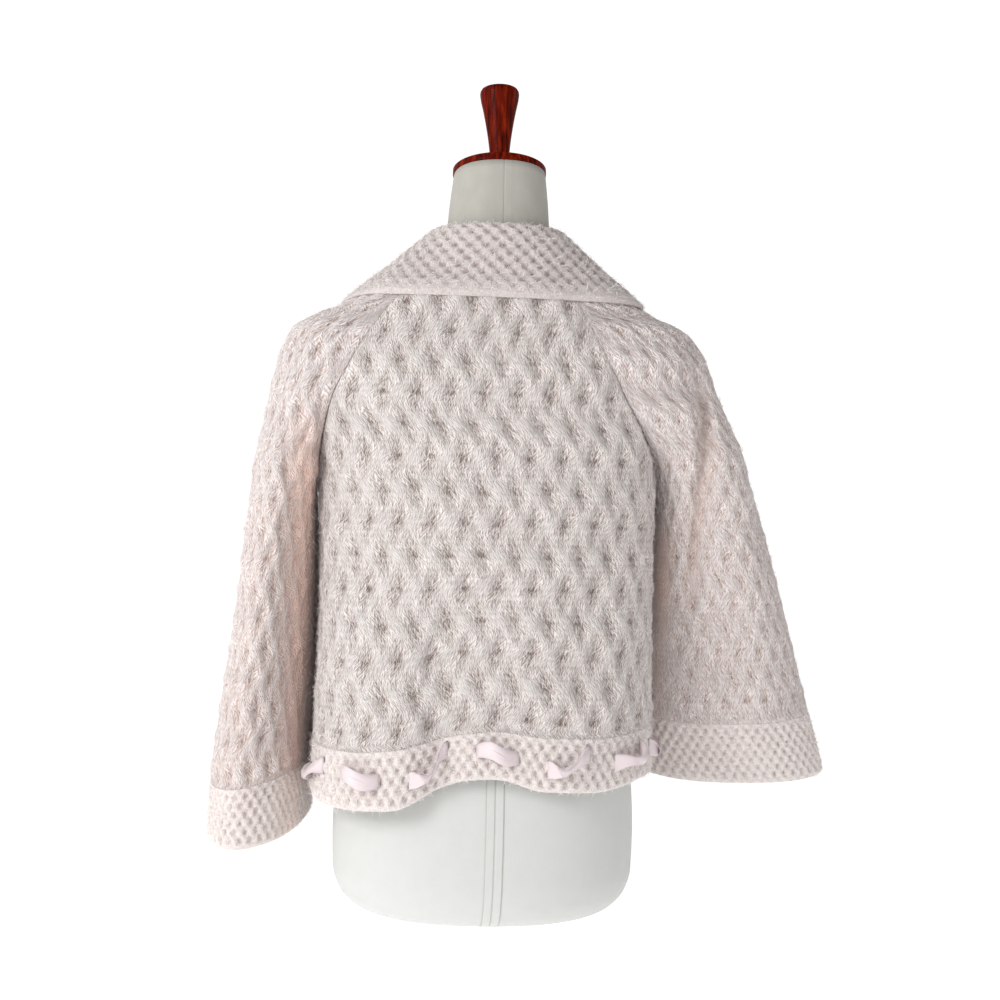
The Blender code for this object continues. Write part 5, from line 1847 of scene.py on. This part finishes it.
# %% [markdown]
# Dress the pieces
#
# Each piece gets its material, rides on the one body of this part, and stands for its CAD
# solid. For every knitted piece the table below also lists a flat size, its widest row by its
# height, measured along the model's own surface, and an area where the piece is no rectangle;
# the code doesn't use them.

# %% Ride and replace
def dress(piece, material, node):
    """Gives a piece its material and puts it in its CAD node's place."""
    piece.data.materials.append(material)
    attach(piece, "root")
    if node:
        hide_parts(node)


for name, fuzz in fibres.items():
    dress(fuzz, FIBRE, None)
dress(cover, LINEN, "form_body")
dress(cap, WOOD, "neck_cap")
dress(knob, WOOD, "neck_knob")
print("fibres dressed:", len(fibres))

# %% The cut of every knitted piece
CUTS = [
    (back, "body_back", "mohair_cable_knit", MOHAIR, (0.535, 0.500), "hung", 0.194),
    (collar, "collar", "mohair_seed_stitch", COLLAR_MOHAIR, (0.831, 0.130), "folded", 0.0744),
    (hem_back, "hem_back", "mohair_seed_stitch", SEED, (0.543, 0.050), "hung", None),
]
SIDE_CUTS = {
    "front": {1: (0.225, 0.500, 0.086), -1: (0.220, 0.500, 0.077)},
    "sleeve": {1: (0.502, 0.628, 0.218), -1: (0.524, 0.570, 0.216)},
    "cuff": {1: (0.502, 0.056, None), -1: (0.560, 0.066, 0.036)},
    "hem_front": {1: (0.226, 0.050, None), -1: (0.220, 0.050, None)},
    "front_band": {1: (0.026, 0.453, None), -1: (0.026, 0.453, None)},
}
SIDE_PIECES = {
    "front": (fronts, "mohair_cable_knit", MOHAIR),
    "sleeve": (sleeves, "mohair_cable_knit", SLEEVE_MOHAIR),
    "cuff": (cuffs, "mohair_seed_stitch", SEED),
    "hem_front": (hem_fronts, "mohair_seed_stitch", SEED),
    "front_band": (front_bands, "mohair_seed_stitch", SEED),
}
for part_name, (pieces, slot_name, material) in SIDE_PIECES.items():
    for side, side_name in SIDE_NAMES.items():
        width, high, area = SIDE_CUTS[part_name][side]
        node = part_name + "_" + side_name
        CUTS.append((pieces[side], node, slot_name, material, (width, high), "hung", area))
print("knitted pieces to declare:", len(CUTS))

for piece, node, slot_name, material, flat, held, area in CUTS:
    dress(piece, material, node)
for number, ribbon in enumerate(ribbons):
    dress(ribbon, SATIN, f"ribbon_{number + 1:02d}")
print("ribbon stretches:", len(ribbons))

# %% [markdown]
# Floor and surrounding light
#
# The photograph has the plain white of a studio, with hardly a shadow on the ground. A sheet
# of white acrylic that is lit from below gives that look, so the floor glows a little itself.
# The world is white near the horizon and grey overhead, most so on the wearer's right, which
# leaves the relief its shade. Several lamps would do the same, but with more noise.

# %% A lit acrylic floor
FLOOR_HALF = 6
FLOOR_GLOW = 0.62
WHITE = (1.0, 1.0, 1.0, 1.0)
floor_mesh = bpy.data.meshes.new("floor")
corners = [(x * FLOOR_HALF, y * FLOOR_HALF, 0) for x, y in ((-1, -1), (1, -1), (1, 1), (-1, 1))]
floor_mesh.from_pydata(corners, [], [(0, 1, 2, 3)])
floor = bpy.data.objects.new("floor", floor_mesh)
bpy.context.scene.collection.objects.link(floor)
ACRYLIC = new_material(
    "pale_lit_acrylic_floor", "#F6F6F6", 0.9, Emission_Strength=FLOOR_GLOW, Emission_Color=WHITE)[0]
floor_mesh.materials.append(ACRYLIC)
print("floor is", 2 * FLOOR_HALF, "m wide")

# %% A white world that is grey overhead
WORLD_STRENGTH = 1.06
RIGHT_SHADE = -0.8  # how much sooner the grey begins on the wearer's right
world = bpy.data.worlds.new("white_studio")
bpy.context.scene.world = world
world.use_nodes = True
tree = world.node_tree
facing = add(tree, "TexCoord", out="Generated")
toward_left = add(tree, "SeparateXYZ", (facing,), out=0)
upward = add(tree, "SeparateXYZ", (facing,), out=2)
sooner = add(tree, "Math", (toward_left, RIGHT_SHADE, 1.0), operation="MULTIPLY_ADD")
high = add(tree, "Math", (upward, sooner), operation="MULTIPLY")
sky = add(tree, "ValToRGB", (high,), stops=[(0.36, "#FFFFFF"), (0.80, "#5A5A5A")])
tree.links.new(sky, tree.nodes["Background"].inputs[0])
tree.nodes["Background"].inputs[1].default_value = WORLD_STRENGTH
print("world strength:", WORLD_STRENGTH)

# %% [markdown]
# The key light
#
# The relief of knitting shows in its shadows, so one light has to be stronger than the rest.
# A sun would draw them hard. This is a large square lamp, up on the wearer's left and behind
# the form, so the cables' right sides fall into soft shade.

# %% One large, soft key light
KEY_PLACE = (2.2, 1.9, 1.4)
KEY_AIM = (0, 0, 0.4)
key = bpy.data.lights.new("key", "AREA")
key.size = 1.1
key.energy = 44
lamp = bpy.data.objects.new("key", key)
lamp.location = KEY_PLACE
lamp.rotation_euler = (Vector(KEY_AIM) - Vector(KEY_PLACE)).to_track_quat("-Z", "Y").to_euler()
bpy.context.scene.collection.objects.link(lamp)
print("key light:", key.energy, "W over", key.size, "m")

# %% [markdown]
# The camera
#
# The camera stands two metres behind the form, a little to one side, and is held slightly
# askew as in the photograph. Blender's camera looks along its own -z, so its three axes are
# written straight into its matrix. That is surer than turning it by angles in some order.

# %% The camera of the photograph
CAMERA_TURN = math.radians(6.1)
CAMERA_ROLL = math.radians(1.5)
CAMERA_AWAY = 2.0
CAMERA_HEIGHT = 0.43
forward = -np.array((math.sin(CAMERA_TURN), math.cos(CAMERA_TURN), 0.0))
right = np.array((-math.cos(CAMERA_TURN), math.sin(CAMERA_TURN), 0.0))
axes = np.eye(4)
axes[:3, 0] = right * math.cos(CAMERA_ROLL) + UP * math.sin(CAMERA_ROLL)
axes[:3, 1] = UP * math.cos(CAMERA_ROLL) - right * math.sin(CAMERA_ROLL)
axes[:3, 2] = -forward
axes[:3, 3] = -CAMERA_AWAY * forward + (0, 0, CAMERA_HEIGHT)
camera_data = bpy.data.cameras.new("camera")
camera_data.lens = 69.2
camera_data.sensor_width = 36.0
camera_data.shift_x = 0.009
camera = bpy.data.objects.new("camera", camera_data)
camera.matrix_world = Matrix(axes.tolist())
bpy.context.scene.collection.objects.link(camera)
bpy.context.scene.camera = camera
bpy.context.scene.view_settings.view_transform = "Standard"
print("camera at", [round(float(value), 3) for value in axes[:3, 3]])
